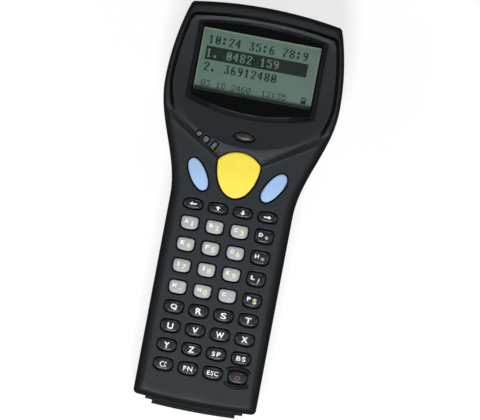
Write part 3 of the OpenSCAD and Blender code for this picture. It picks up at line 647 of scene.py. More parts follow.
def surface(name, colours, rough, spread=0.05, grain_mm=0.4, depth_mm=0.006, cloud_mm=9.0,
            edge_mm=0.12, fixed=None, pattern=None, graze=0.0):
    """A moulded, printed or plated surface: clouded colour, and grain in gloss and bump.

    With graze, it grows rougher and shines less towards the edge of what the eye sees.
    """
    m, tree = new_material(name)
    where = add(tree, "ShaderNodeTexCoord").outputs["Object"]
    cloud = add(tree, "ShaderNodeTexNoise", {"Vector": where, "Scale": 1 / (cloud_mm * MM), "Detail": 3.0})
    tone = add(tree, "ShaderNodeMapRange", {"Value": cloud.outputs["Fac"], "From Min": 0.3, "From Max": 0.7})
    mixed = add(tree, "ShaderNodeMix", {0: tone.outputs["Result"], MIX_A: colours[0], MIX_B: colours[1]},
                data_type="RGBA")
    colour = mixed.outputs[MIX_OUT]
    if pattern:
        colour = pattern(tree, where, colour)
    fine = add(tree, "ShaderNodeTexNoise", {"Vector": where, "Scale": 1 / (grain_mm * MM), "Detail": 3.0})
    both = add(tree, "ShaderNodeMath", {0: fine.outputs["Fac"], 1: cloud.outputs["Fac"]}, operation="ADD")
    gloss = add(tree, "ShaderNodeMapRange", {"Value": both.outputs[0], "From Min": 0.7, "From Max": 1.3,
                                             "To Min": rough - spread, "To Max": rough + spread})
    dull = gloss.outputs["Result"]
    fixed = dict(fixed or {})
    if graze:
        facing = add(tree, "ShaderNodeLayerWeight", {"Blend": 0.5})
        low = add(tree, "ShaderNodeMapRange", {"Value": facing.outputs["Facing"], "From Min": 0.06,
                                               "From Max": 0.36, "To Max": graze})
        dull = add(tree, "ShaderNodeMath", {0: dull, 1: low.outputs["Result"]}, operation="ADD").outputs[0]
        shine = add(tree, "ShaderNodeMapRange", {"Value": facing.outputs["Facing"], "From Min": 0.1,
                                                 "From Max": 0.5, "To Min": fixed["Specular IOR Level"],
                                                 "To Max": 0.12})
        fixed["Specular IOR Level"] = shine.outputs["Result"]
    edge = add(tree, "ShaderNodeBevel", {"Radius": edge_mm * MM}, samples=4)
    bump = add(tree, "ShaderNodeBump", {"Height": fine.outputs["Fac"], "Distance": depth_mm * MM,
                                        "Normal": edge.outputs["Normal"]})
    shader = add(tree, "ShaderNodeBsdfPrincipled",
                 {"Base Color": colour, "Roughness": dull, "Normal": bump.outputs["Normal"],
                  **fixed})
    add(tree, "ShaderNodeOutputMaterial", {"Surface": shader.outputs[0]})
    return m


# The numbers after a finish's two colours are its roughness and how far that wanders, the size and
# the depth of its grain and the size of its clouds, in millimetres.
#
# ABS from a spark-eroded mould: near-black resin whose even fine grain gives a soft grey
# sheen on what faces the light and falls to black on the rounded sides. The real grain is
# about 0.1 mm; it is drawn at 0.5 mm so that it shows. At a low angle the grain scatters more
# and shines less.
ABS = surface("abs_spark_textured", ("#0f1112", "#131516"), 0.53, 0.05, 0.5, 0.07, 12, graze=0.45,
              fixed={"Specular IOR Level": 0.34, "Specular Tint": "#e9f5ff"})
# The same resin on the back half, from a coarser and duller mould; its slightly darker base is painted shade
# for the foot's steps, which lie in shade
ABS_BACK = surface("abs_spark_textured_back", ("#0c0e0f", "#101213"), 0.62, 0.05, 0.6, 0.07, 12, graze=0.35,
                   fixed={"Specular IOR Level": 0.2, "Specular Tint": "#e9f5ff"})
# Silicone keys under silver paint: pale grey, satin, faintly pearly
KEY_SILVER = surface("silicone_painted_silver", ("#a0a3a9", "#aaadb3"), 0.4, 0.06, 0.5, 0.006, 5,
                     fixed={"Coat Weight": 0.2, "Coat Roughness": 0.3})
# Silicone keys under black satin paint: their flat tops stay dark, their rims catch light
KEY_BLACK = surface("silicone_painted_black", ("#14171b", "#191c20"), 0.27, 0.03, 0.5, 0.003, 5,
                    fixed={"Specular IOR Level": 0.5, "Specular Tint": "#e3efff"})
# The same paint with a painted highlight on the keys' rims: a fine blue-grey line of light round each top
KEY_BLACK_RIM_HIGHLIGHT = surface("silicone_black_painted_rim_highlight", ("#434c59", "#4e5867"), 0.34, 0.05, 0.5,
                        0.003, 2)
# Bare black silicone of the keys' skirts, matt
KEY_SKIRT = surface("silicone_bare_black", ("#060708", "#0a0b0c"), 0.75, 0.05, 0.4, 0.004, 3,
                    fixed={"Specular IOR Level": 0.2})
# Silicone coloured right through: warm yellow; the darker orange of its rim and walls is painted shade at
# the key's edge and in the gap round it
KEY_YELLOW = surface("silicone_yellow", ("#f3de3e", "#f7e446"), 0.5, 0.05, 0.6, 0.006, 7)
KEY_YELLOW_EDGE_SHADE = surface("silicone_yellow_painted_edge_shade", ("#d8992a", "#e0a430"), 0.5, 0.05, 0.6, 0.006, 3)
# Silicone coloured right through in pale blue; the deeper blue of its rim and walls is painted shade at the
# key's edge and in the gap round it
KEY_BLUE = surface("silicone_pale_blue", ("#98b9e2", "#9ebfe6"), 0.5, 0.05, 0.6, 0.006, 7)
KEY_BLUE_EDGE_SHADE = surface("silicone_pale_blue_painted_edge_shade", ("#6d90c4", "#7396ca"), 0.5, 0.05, 0.6, 0.006, 3)
# Pad-printed ink, slightly chalky
INK_WHITE = surface("ink_printed_white", ("#eef0f0", "#f6f6f4"), 0.6, 0.05, 0.3, 0.002, 2)
INK_YELLOW = surface("ink_printed_yellow", ("#e2e1a4", "#eae9ac"), 0.6, 0.05, 0.3, 0.002, 2)
INK_RED = surface("ink_printed_red", ("#a24d39", "#ad5743"), 0.6, 0.05, 0.3, 0.002, 2)
# Rubber, moulded: matt black
RUBBER = surface("rubber_moulded_black", ("#08080a", "#0d0d10"), 0.7, 0.05, 0.3, 0.004, 3)
# Silicone sheet of the key mat
MAT = surface("silicone_sheet_grey", ("#44474c", "#4c4f54"), 0.6, 0.05, 0.4, 0.003, 8)
# Steel, zinc plated: bright, with the fine cloud of the plating
ZINC = surface("steel_zinc_plated", ("#b9bbbf", "#c9cacd"), 0.32, 0.07, 0.25, 0.002, 2.5,
               fixed={"Metallic": 1.0})
# Brass under a gold flash
GOLD = surface("brass_gold_flashed", ("#d9b45c", "#e3c274"), 0.25, 0.05, 0.2, 0.001, 1.5,
               fixed={"Metallic": 1.0})
# Nylon, moulded black: a little glossier than the housing
BLACK_PART = surface("nylon_moulded_black", ("#141517", "#1a1b1e"), 0.45, 0.06, 0.3, 0.01, 4)
# PVC shrink wrap round the battery cells: smooth, slightly wavy
WRAP = surface("pvc_shrink_wrap_grey", ("#5f646b", "#686d74"), 0.35, 0.06, 1.2, 0.02, 12,
               fixed={"Coat Weight": 0.3, "Coat Roughness": 0.15})


def board_tracks(tree, where, base):
    """Copper tracks seen through the solder mask, on a 5 mm pattern."""
    cells = add(tree, "ShaderNodeTexBrick", {"Vector": where, "Scale": 1 / (5.08 * MM), "Mortar Size": 0.03})
    share = add(tree, "ShaderNodeMapRange", {"Value": cells.outputs["Fac"], "To Max": 0.8})
    mixed = add(tree, "ShaderNodeMix", {0: share.outputs["Result"], MIX_A: base, MIX_B: "#3f8a5c"},
                data_type="RGBA")
    return mixed.outputs[MIX_OUT]


# Glass-fibre board under green solder mask
BOARD = surface("fibreglass_green_masked", ("#14502f", "#195a36"), 0.35, 0.05, 0.3, 0.002, 6,
                pattern=board_tracks)


def screen_frame(tree, where, half_x, half_y, blur):
    """0 inside the screen's rectangle and 1 outside it, with an edge of some width."""
    part = add(tree, "ShaderNodeSeparateXYZ", {"Vector": where})
    sides = []
    for axis, middle, half in (("X", 0, half_x), ("Y", VIEW_MID, half_y)):
        off = add(tree, "ShaderNodeMath", {0: part.outputs[axis], 1: middle * MM}, operation="SUBTRACT")
        size = add(tree, "ShaderNodeMath", {0: off.outputs[0]}, operation="ABSOLUTE")
        side = add(tree, "ShaderNodeMapRange", {"Value": size.outputs[0], "From Min": (half - blur) * MM,
                                                "From Max": half * MM})
        sides.append(side.outputs["Result"])
    return add(tree, "ShaderNodeMath", {0: sides[0], 1: sides[1]}, operation="MAXIMUM").outputs[0]


LCD_FADE = 26.0


def lcd_tones(tree, where, base):
    """Reflective LCD: grey-green, warmer to the right, with a pale edge round the polariser."""
    part = add(tree, "ShaderNodeSeparateXYZ", {"Vector": where})
    across = add(tree, "ShaderNodeMapRange", {"Value": part.outputs["X"], "From Min": -LCD_FADE * MM,
                                                 "From Max": LCD_FADE * MM})
    warm = add(tree, "ShaderNodeMix", {0: across.outputs["Result"], MIX_A: "#647d73", MIX_B: "#6f7d77"},
               data_type="RGBA")
    whole = add(tree, "ShaderNodeMix", {0: 0.7, MIX_A: base, MIX_B: warm.outputs[MIX_OUT]}, data_type="RGBA")
    edge = screen_frame(tree, where, VIEW_W / 2 - 0.35, VIEW_H / 2 - 0.35, 0.3)
    rimmed = add(tree, "ShaderNodeMix", {0: edge, MIX_A: whole.outputs[MIX_OUT], MIX_B: "#8f9889"},
                 data_type="RGBA")
    return rimmed.outputs[MIX_OUT]


LCD_GLASS = surface("lcd_glass_grey_green", ("#5f7a72", "#667f77"), 0.4, 0.04, 0.3, 0.001, 7,
                    pattern=lcd_tones)
# Liquid-crystal figures: dark green-grey
LCD_DARK = surface("lcd_figure_dark", ("#151d19", "#1a231e"), 0.6, 0.05, 0.3, 0.001, 3,
                   fixed={"Specular IOR Level": 0.1})


def lens_sheet():
    """Hard-coated clear sheet, back-printed in black outside the screen; its outer face mirrors."""
    m, tree = new_material("acrylic_hard_coated")
    where = add(tree, "ShaderNodeTexCoord").outputs["Object"]
    border = screen_frame(tree, where, VIEW_W / 2, VIEW_H / 2, 0.03)
    fine = add(tree, "ShaderNodeTexNoise", {"Vector": where, "Scale": 1 / (1.5 * MM), "Detail": 2.0})
    rough = add(tree, "ShaderNodeMapRange", {"Value": fine.outputs["Fac"], "From Min": 0.3, "From Max": 0.7,
                                             "To Min": 0.05, "To Max": 0.09})
    cloud = add(tree, "ShaderNodeTexNoise", {"Vector": where, "Scale": 1 / (12 * MM), "Detail": 2.0})
    tone = add(tree, "ShaderNodeMix", {0: cloud.outputs["Fac"], MIX_A: "#040607", MIX_B: "#07090b"},
               data_type="RGBA")
    ink = add(tree, "ShaderNodeBsdfPrincipled",
              {"Base Color": tone.outputs[MIX_OUT], "Roughness": rough.outputs["Result"]})
    gloss = add(tree, "ShaderNodeBsdfGlossy", {"Color": "#ffffff", "Roughness": rough.outputs["Result"]})
    clear = add(tree, "ShaderNodeBsdfTransparent", {"Color": "#f6f9f7"})
    fresnel = add(tree, "ShaderNodeFresnel", {"IOR": 1.49})
    side = add(tree, "ShaderNodeNewGeometry")
    front = add(tree, "ShaderNodeMath", {0: 1.0, 1: side.outputs["Backfacing"]}, operation="SUBTRACT")
    share = add(tree, "ShaderNodeMath", {0: fresnel.outputs[0], 1: front.outputs[0]}, operation="MULTIPLY")
    glass = add(tree, "ShaderNodeMixShader", {0: share.outputs[0], 1: clear.outputs[0], 2: gloss.outputs[0]})
    whole = add(tree, "ShaderNodeMixShader", {0: border, 1: glass.outputs[0], 2: ink.outputs[0]})
    add(tree, "ShaderNodeOutputMaterial", {"Surface": whole.outputs[0]})
    return m


LENS = lens_sheet()
# Polycarbonate, smoked: a glossy brown-grey dome; its lighter clouds are painted highlights for the streaks
# of light off the reflector below
SMOKED_PAINTED_STREAKS = surface("polycarbonate_smoked_painted_streaks", ("#1b1917", "#484239"), 0.35, 0.05, 1.0, 0.03, 1.3,
                 fixed={"Specular IOR Level": 0.3})
# Polycarbonate, milky: satin grey windows of the indicators
MILKY = surface("polycarbonate_milky", ("#3e4347", "#5d6367"), 0.4, 0.05, 0.4, 0.01, 1.0)
# Acrylic, deep red: passes the scan beam and hides what is behind it
WINDOW_RED = surface("acrylic_deep_red", ("#6a0a14", "#7c0d18"), 0.08, 0.02, 0.8, 0.001, 6,
                     fixed={"Coat Weight": 0.3, "Coat Roughness": 0.03})


# ---------------------------------------------------------------- geometry nodes
def repeat_tree():
    """Puts the unit's mesh on every vertex of the carrier, at one size, with one finish."""
    tree = bpy.data.node_groups.new("repeat_on_points", "GeometryNodeTree")
    face = tree.interface
    sockets = {
        "Places": face.new_socket("Places", in_out="INPUT", socket_type="NodeSocketGeometry"),
        "Unit": face.new_socket("Unit", in_out="INPUT", socket_type="NodeSocketObject"),
        "Finish": face.new_socket("Finish", in_out="INPUT", socket_type="NodeSocketMaterial"),
        "Size": face.new_socket("Size", in_out="INPUT", socket_type="NodeSocketVector"),
    }
    face.new_socket("Mesh", in_out="OUTPUT", socket_type="NodeSocketGeometry")
    given = add(tree, "NodeGroupInput")
    unit = add(tree, "GeometryNodeObjectInfo", {"Object": given.outputs["Unit"]})
    spread = add(tree, "GeometryNodeInstanceOnPoints",
                 {"Points": given.outputs["Places"], "Instance": unit.outputs["Geometry"],
                  "Scale": given.outputs["Size"]})
    real = add(tree, "GeometryNodeRealizeInstances", {"Geometry": spread.outputs[0]})
    finish = add(tree, "GeometryNodeSetMaterial",
                 {"Geometry": real.outputs[0], "Material": given.outputs["Finish"]})
    add(tree, "NodeGroupOutput", {0: finish.outputs[0]})
    return tree, {k: s.identifier for k, s in sockets.items()}


REPEAT, REPEAT_ID = repeat_tree()


def repeated(name, unit, places, material, size=(1, 1, 1), sharp=40):
    """One plain mesh with the unit standing at every place."""
    mesh = bpy.data.meshes.new(name)
    mesh.from_pydata([tuple(np.array(p) * MM) for p in places], [], [])
    obj = linked(name, mesh)
    m = obj.modifiers.new("repeat", "NODES")
    m.node_group = REPEAT
    m[REPEAT_ID["Unit"]] = unit
    m[REPEAT_ID["Finish"]] = material
    m[REPEAT_ID["Size"]] = list(size)
    plain(obj)
    bpy.data.objects.remove(unit)
    return smoothed(obj, sharp)


# ---------------------------------------------------------------- front housing
def openings():
    """Outline functions of every opening in the face, each taking how far outside its piece it runs."""
    found = [lambda d, r=r, name=name: grid_outline(r, name, d + KEY_GAP)
             for r, row in enumerate(KEY_ROWS) for name in row]
    found.append(lambda d: scan_outline(d + KEY_GAP))
    found += [lambda d, side=side: oval_outline(side, d + KEY_GAP) for side in (-1, 1)]
    found.append(lambda d: status_outline(d + STATUS_GAP))
    found += [lambda d, i=i: light_outline(i, d + LIGHT_GAP) for i in range(len(LIGHTS))]
    return found


def lip_drop(out, r):
    """How far a rounded lip lies under the face, at a distance out from its wall."""
    short = np.clip(r - out, 0, r)
    return r - math.sqrt(max(r * r - short * short, 0))


def lipped(outline, lip, steps, rows):
    """Lays the rows of an opening's rounded lip, and gives the top ring of its wall."""
    edge = outline(0)
    for out in steps:
        loop = outline(out)
        rows.append(flat_ring(loop, key_side_height(loop) - lip_drop(out, lip)))
    return flat_ring(edge, key_side_height(edge) - lip)


def fill_points(loops, step, cell):
    """Staggered grid over the face, a cell clear of every row already laid."""
    xs = np.arange(-FILL_HALF, FILL_HALF, step)
    ys = np.arange(Y_SHELL, Y_TOP, step * 0.87)
    grid = np.array([[x + (j % 2) * step / 2, y] for j, y in enumerate(ys) for x in xs])
    taken = set()
    for i, j in np.floor(np.vstack([np.array(loop)[:, :2] for loop in loops]) / cell).astype(int).tolist():
        taken.update((i + a, j + b) for a in (-1, 0, 1) for b in (-1, 0, 1))
    spots = np.floor(grid / cell).astype(int).tolist()
    return np.array([p for p, spot in zip(grid, spots) if tuple(spot) not in taken])


def both_ways(steps):
    """The steps to one side, the middle, and the same steps to the other side."""
    return [-step for step in steps[::-1]] + [0] + list(steps)


# Offsets at which the mesh follows a line: the panel's groove and crest, the creases and the guards
GROOVE_STEPS = both_ways((0.1, 0.22, 0.36, 0.5, 0.6, 0.67, 0.72))
CREST_STEPS = (-1.5, -1.1, -0.75, -0.5, -0.3, -0.15, 0, 0.15, 0.3, 0.5, 0.7, 0.9, 1.2, 1.6, 2.1)
CREASE_STEPS = both_ways((0.2, 0.45, 0.8, 1.4))
GUARD_STEPS = both_ways((0.12, 0.26, 0.4, 0.52, 0.62, 0.72, 0.85, 0.98, 1.3))
FILL_HALF = 38


def key_openings(shell, holes, rows):
    """Walls of the face's openings. Gives their outlines on its underside."""
    under = []
    for outline in openings():
        wall_top = lipped(outline, LIP_R, (0.03, 0.1, 0.18, LIP_R, 0.6), rows)
        edge = wall_top[:, :2]
        under.append(flat_ring(edge, CEIL_Z))
        shell.loft([under[-1], flat_ring(edge, (wall_top[:, 2] + CEIL_Z) / 2), wall_top])
        holes.append(wall_top)
    return under


def lens_opening(shell, holes, rows):
    """The lens's seat: a sloped wall, a ledge for the seal and the screen's window."""
    steps = (0.05, 0.13, 0.24, BROW_LIP, 0.8)
    brow = lipped(lambda d: eye_outline(LENS_SLOPE + d), BROW_LIP, steps, rows)
    holes.append(brow)
    foot = eye_outline(0.15)
    ledge_z = LENS_LOW[2] - 0.3
    shell.loft([flat_ring(foot, ledge_z), flat_ring(foot, LENS_HIGH[2] + 0.1), brow])
    view = rounded_rect(VIEW_W + 0.4, VIEW_H + 0.4, 0.3) + [0, VIEW_MID]
    shell.sheet(flat_ring(foot, ledge_z), [flat_ring(view, ledge_z)])
    shell.loft([flat_ring(view, CEIL_Z), flat_ring(view, ledge_z)])
    return flat_ring(view, CEIL_Z)


def panel_rows(shell, holes, rows):
    """Follows the panel's edge, and lofts the groove along its sides and top as a strip of its own."""
    rows += [on_face(panel_outline(d)) for d in CREST_STEPS]
    strip = [on_face(panel_outline(d)[PANEL_LOW_N:-PANEL_LOW_N]) for d in GROOVE_STEPS]
    shell.loft(strip, closed=False)
    strip = np.array(strip)
    holes.append(np.vstack([strip[0], strip[1:-1, -1], strip[-1, ::-1], strip[-2:0:-1, 0]]))


def crease_rows():
    """Lines along the two creases that run down from the head's sides to the scan key."""
    crease = np.array([half_w(CREASE_Y) - HANDLE_ROUND, CREASE_Y]) - [0, V_Y]
    unit = crease / np.linalg.norm(crease)
    side = np.array([-unit[1], unit[0]])
    rows = []
    for s in (-1, 1):
        for off in CREASE_STEPS:
            line = [[0, V_Y] + unit * t + side * off for t in np.linspace(9, 33.5, 62)]
            rows.append(on_face(np.array(line) * [s, 1]))
    return rows


def guard_rows():
    """Arcs along the two guards of the power key."""
    swing = np.radians(np.linspace(-GUARD_HALF_DEG - 5, GUARD_HALF_DEG + 5, 61))
    rows = []
    for turn in (1, -1):
        for off in GUARD_STEPS:
            x = POWER_X + (GUARD_R + off) * np.sin(swing)
            y = POWER_Y + turn * (GUARD_RISE - GUARD_R + (GUARD_R + off) * np.cos(swing))
            rows.append(on_face(np.stack([x, y], 1)))
    return rows


def front_housing():
    """Lofted walls, then the face as one sheet that follows every row laid on it."""
    shell = Shell()
    y = PLAN[:, 1]
    top = FACE_Z + rise_at(y)
    depth = edge_in(y) + TOP_END_MORE * ramp(y, Y_TOP - 9, Y_TOP - 2)
    rings = [ring(0.35, SEAM_TOP), ring(0.12, SEAM_TOP + 0.1), ring(0, SEAM_TOP + 0.4), ring(0, MID_WALL_Z)]
    for a in np.radians(np.linspace(0, 90, 17)):
        rings.append(ring(depth * (1 - math.cos(a)), top - EDGE_DROP * (1 - math.sin(a))))
    inner = [ring(WALL + 1.6, CEIL_Z), ring(WALL, CEIL_Z - 2.5), ring(WALL, SEAM_TOP)]
    shell.loft(inner + rings)

    holes, rows = [], []
    under = key_openings(shell, holes, rows)
    under.append(lens_opening(shell, holes, rows))
    shell.sheet(inner[0], under)
    panel_rows(shell, holes, rows)
    loose = np.vstack(rows + crease_rows() + guard_rows())
    outer = rings[-1]
    blocked = signed_distance(loose[:, :2], outer[:, :2]) < 0.3
    for hole in holes:
        near = np.all(loose[:, :2] > hole[:, :2].min(0), 1) & np.all(loose[:, :2] < hole[:, :2].max(0), 1)
        blocked[near] |= signed_distance(loose[near][:, :2], hole[:, :2]) > -0.02
    loose = loose[~blocked]
    fill = fill_points([loose, outer, *holes], 1.5, 0.8)
    inside = signed_distance(fill, outer[:, :2]) > 0.5
    for hole in holes:
        inside &= signed_distance(fill, hole[:, :2]) < -0.3
    shell.sheet(outer, holes, np.vstack([loose, on_face(fill[inside])]))
    dress(shell.object("front_shell", [ABS], sharp=50), "housing", "front_housing")


# ---------------------------------------------------------------- rear housing
HINGE_Y = COVER_LOW[1] + 0.9
HINGE_Z = 1.1
PIN_R = 0.55
COVER_HALF = 19.1
BAY_HALF = COVER_HALF + 0.3
COVER_TOP = -14.0
COVER_Z = COVER_LOW[2]
COVER_T = 1.8
BAY_Y0 = COVER_LOW[1] - 0.3
BAY_Y1 = COVER_TOP - 2.1
BAY_TOP = 18.3
SCOOP_Y = Y_NECK + 21.6
SCOOP_DEPTH = 5.0
SCOOP_R = bow_r(17, SCOOP_DEPTH)
SCREWS = [(s * float(half_w(VIEW_MID + 6) - WALL - 2.9), VIEW_MID + 5.6) for s in (-1, 1)]
SCREWS += [(s * (HANDLE_HALF - WALL - 3.0), Y_NECK + 3.6) for s in (-1, 1)]
SCREW_SEAT = SEAM_Z - 7
SCREW_WELL_R = 2.1
LOCK_HALF = 8.0
FOOT_Z = 5.0
FOOT_H = 11.0


def foot_piece(name, half, proud, z, h):
    """One step of the dock foot, its end bowed and its edges rounded."""
    loop = [[x, Y_SHELL - proud + bow(x, FOOT_END_R)] for x in np.linspace(-half, half, 41)]
    loop += [[half, Y_SHELL + 3.2], [-half, Y_SHELL + 3.2]]
    obj = solid(name, slab_rings(np.array(loop), z, z + h, 0.5, 0.5), ABS_BACK)
    dress(obj, "housing", None)


def screw_wells():
    """Round cutters from the back up to the screws' seats."""
    wells = []
    for i, spot in enumerate(SCREWS):
        loop = circle(40) * SCREW_WELL_R + spot
        wells.append(solid(f"well_{i}", [flat_ring(loop, -1), flat_ring(loop, SCREW_SEAT)]))
    return wells


def window_pocket():
    """Opening of the head's end for the scan window."""
    loop = rounded_rect(WINDOW_HIGH[0] * 2 + 0.3, WINDOW_HIGH[2] - WINDOW_LOW[2] + 0.3, 0.9)
    loop = loop + [0, (WINDOW_LOW[2] + WINDOW_HIGH[2]) / 2]
    return solid("pocket", [stood(loop, y) for y in (WINDOW_LOW[1], WINDOW_LOW[1] + 12)])


def rear_housing():
    """The back half: a rounded tub with a finger scoop, the battery bay and the screw wells."""
    rings = []
    for a in np.radians(np.linspace(90, 0, 15)):
        rings.append(ring(BACK_ROUND * (1 - math.cos(a)), BACK_DROP * (1 - math.sin(a))))
    rings += [ring(0, 13), ring(0, SEAM_Z - 0.4), ring(0.12, SEAM_Z - 0.1), ring(0.35, SEAM_Z)]
    body = solid("rear_shell", rings, ABS_BACK)

    hollow = solid("hollow", [ring(WALL + 2.4, WALL), ring(WALL, WALL + 3.4), ring(WALL, SEAM_Z + 1)])
    reach = HEAD_HALF + 5
    cut(hollow, [
        bar("scoop_back", reach, SCOOP_Y, SCOOP_DEPTH - SCOOP_R, SCOOP_R + WALL, 160),
        block("bay_walls", [-BAY_HALF - 1.4, BAY_Y0 - 1.4, WALL - 1],
              [BAY_HALF + 1.4, BAY_Y1 + 1.2, BAY_TOP + 1.1]),
    ])
    cut(body, [
        hollow,
        bar("scoop", reach, SCOOP_Y, SCOOP_DEPTH - SCOOP_R, SCOOP_R, 160),
        block("bay", [-BAY_HALF, BAY_Y0, WALL], [BAY_HALF, BAY_Y1, BAY_TOP], 0.4),
        block("mouth", [-BAY_HALF, BAY_Y0, -1], [BAY_HALF, COVER_TOP + 0.3, WALL + 0.3], 0.6),
        block("gate", [-LOCK_HALF - 0.3, COVER_TOP - 1, -1],
              [LOCK_HALF + 0.3, LOCK_HIGH[1] + 0.3, WALL + 0.6], 0.6),
        window_pocket(),
        bar("pin_hole", COVER_HALF + 1.5, HINGE_Y, HINGE_Z, PIN_R + 0.07, 32),
        *screw_wells(),
    ])
    dress(smoothed(body, 32), "housing", "rear_housing")


# ---------------------------------------------------------------- keys
# Fall of a key's rim from its edge inwards: a small round, a sloped rim and the flat top
RIM = ((0.0, 0.42), (0.04, 0.31), (0.12, 0.235), (0.3, 0.165), (0.48, 0.09), (0.58, 0.055), (0.66, 0.05))
RIM_ROWS = 3
KEY_TOP = FACE_Z + KEY_PROUD
FLANGE_Z = box("key_q")[0][2] + 0.6
FLANGE_T = 0.6
# Places of a cap's finishes in its list of materials. The third holds painted light: a highlight on the
# black keys' rims, and shade on the coloured keys' rims and walls
TOP, SKIRT, PAINTED_EDGE = 0, 1, 2
CROWNS = {}


def key_cap(name, loop, middle, crown_r, finishes, wall, rim, slot):
    """Key cap: flange under the face, straight wall, sloped rim and crowned top."""
    middle = np.array(middle, float)

    def crown(flat, fall=RIM[-1][1]):
        away = ((flat - middle) ** 2).sum(1)
        return KEY_TOP + RIM[-1][1] - crown_r + np.sqrt(crown_r ** 2 - away) - fall

    shell = Shell()
    skirt = grown(loop, KEY_LEDGE)
    root = flat_ring(loop, FLANGE_Z + FLANGE_T)
    shell.loft([flat_ring(skirt, FLANGE_Z), flat_ring(skirt, FLANGE_Z + FLANGE_T), root], True, finish=SKIRT)
    shell.loft([root, flat_ring(loop, crown(loop, RIM[0][1]))], finish=wall)
    rings = []
    for inwards, fall in RIM:
        flat = grown(loop, -inwards)
        rings.append(flat_ring(flat, crown(flat, fall)))
    last = grown(loop, -RIM[-1][0])
    for share in (0.88, 0.72, 0.54, 0.36, 0.18, 0.06):
        flat = middle + (last - middle) * share
        rings.append(flat_ring(flat, crown(flat)))
    shell.loft(rings[:RIM_ROWS], finish=rim)
    shell.loft(rings[RIM_ROWS - 1:], False, True)
    dress(shell.object(name + "_cap", finishes, sharp=50), name, name)
    CROWNS[name] = crown


for r, row in enumerate(KEY_ROWS):
    for c, name in enumerate(row):
        if 1 <= r <= 4 and c < 3:
            looks = [KEY_SILVER, KEY_SKIRT], SKIRT, TOP, "key_silver"
        else:
            looks = [KEY_BLACK, KEY_SKIRT, KEY_BLACK_RIM_HIGHLIGHT], TOP, PAINTED_EDGE, "key_black"
        key_cap(name, grid_outline(r, name, 0), centre(name), KEY_CROWN_R, *looks)
key_cap("key_scan", scan_outline(0), (0, SCAN_MID - 0.3 * SCAN_TAIL), SCAN_CROWN_R,
        [KEY_YELLOW, KEY_SKIRT, KEY_YELLOW_EDGE_SHADE], PAINTED_EDGE, PAINTED_EDGE, "key_yellow")
for side, name in ((-1, "key_oval_left"), (1, "key_oval_right")):
    key_cap(name, oval_outline(side, 0), centre(name), OVAL_CROWN_R,
            [KEY_BLUE, KEY_SKIRT, KEY_BLUE_EDGE_SHADE], PAINTED_EDGE, PAINTED_EDGE, "key_blue")


# ---------------------------------------------------------------- printed signs on the keys
def glyph(text, width, height, bold, spread=1.0):
    """Flat mesh of a generic sign, fitted to a width and height in millimetres."""
    curve = bpy.data.curves.new("sign", "FONT")
    curve.body = text
    curve.size = 3.0
    curve.offset = bold
    curve.space_character = spread
    curve.resolution_u = 3
    obj = linked("sign", curve)
    graph = bpy.context.evaluated_depsgraph_get()
    mesh = bpy.data.meshes.new_from_object(obj.evaluated_get(graph))
    points = np.array([v.co[:2] for v in mesh.vertices])
    faces = [list(p.vertices) for p in mesh.polygons]
    bpy.data.objects.remove(obj)
    bpy.data.curves.remove(curve)
    low, high = points.min(0), points.max(0)
    points = (points - (low + high) / 2) * [width / (high[0] - low[0]), height / (high[1] - low[1])]
    return cut_small(points, faces)


def cut_small(points, faces, size=0.5):
    """The same flat mesh in triangles small enough to follow a crowned key."""
    bm = bmesh.new()
    verts = [bm.verts.new((*p, 0)) for p in points]
    for f in faces:
        if len(set(f)) == len(f) and bm.faces.get([verts[i] for i in f]) is None:
            bm.faces.new([verts[i] for i in f])
    bmesh.ops.remove_doubles(bm, verts=bm.verts, dist=1e-4)
    for _ in range(3):
        bmesh.ops.triangulate(bm, faces=bm.faces)
        longest = [e for e in bm.edges if e.calc_length() > size]
        if not longest:
            break
        bmesh.ops.subdivide_edges(bm, edges=longest, cuts=1)
    bmesh.ops.triangulate(bm, faces=bm.faces)
    bm.verts.index_update()
    found = np.array([v.co[:2] for v in bm.verts])
    tris = [[v.index for v in f.verts] for f in bm.faces]
    bm.free()
    return found, tris


def arrow_sign(turn):
    """Filled arrow: long and slim along the key, short and broad across it."""
    upright = turn in (90, 270)
    tip, neck, tail = (0.95, 0.05, -0.95) if upright else (1.55, 0.35, -1.55)
    head, stem = (1.1, 0.36) if upright else (0.85, 0.27)
    points = np.array([[tail, -stem], [neck, -stem], [neck, -head], [tip, 0],
                       [neck, head], [neck, stem], [tail, stem]])
    points, faces = cut_small(points, [[0, 1, 5, 6], [1, 2, 3], [1, 3, 5], [5, 3, 4]])
    return placed(points, 0, 0, turn), faces


RING_STEPS = 30


def power_sign():
    """Open ring with a bar through its gap."""
    points, faces = [], []
    for a in np.radians(np.linspace(125, 415, RING_STEPS)):
        for r in (0.74, 1.08):
            points.append([r * math.cos(a), r * 0.86 * math.sin(a)])
    faces += [[2 * i, 2 * i + 2, 2 * i + 3, 2 * i + 1] for i in range(RING_STEPS - 1)]
    base = len(points)
    points += [[-0.17, 0.1], [0.17, 0.1], [0.17, 1.05], [-0.17, 1.05]]
    faces.append([base, base + 1, base + 2, base + 3])
    return cut_small(np.array(points), faces)


# How far a print stands over the key, and how far it reaches into it
PRINT_HIGH = 0.045
PRINT_SUNK = 0.08


def printed(name, signs, crown, body):
    """Thin closed prints that follow the key's crown. Each sign is mesh, place and ink."""
    shell = Shell()
    inks = []
    for (points, faces), spot, ink in signs:
        at = points + spot
        z = crown(at)
        n = len(at)
        edges = [(f[i], f[(i + 1) % len(f)]) for f in faces for i in range(len(f))]
        count = Counter(tuple(sorted(edge)) for edge in edges)
        sides = [[a, b, n + b, n + a] for a, b in edges if count[tuple(sorted((a, b)))] == 1]
        under = [[n + i for i in reversed(f)] for f in faces]
        if ink not in inks:
            inks.append(ink)
        thick = np.vstack([flat_ring(at, z + PRINT_HIGH), flat_ring(at, z - PRINT_SUNK)])
        shell.add(thick, [list(f) for f in faces] + under + sides, inks.index(ink))
    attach(shell.object(name, inks, weld=False, sharp=30), body)


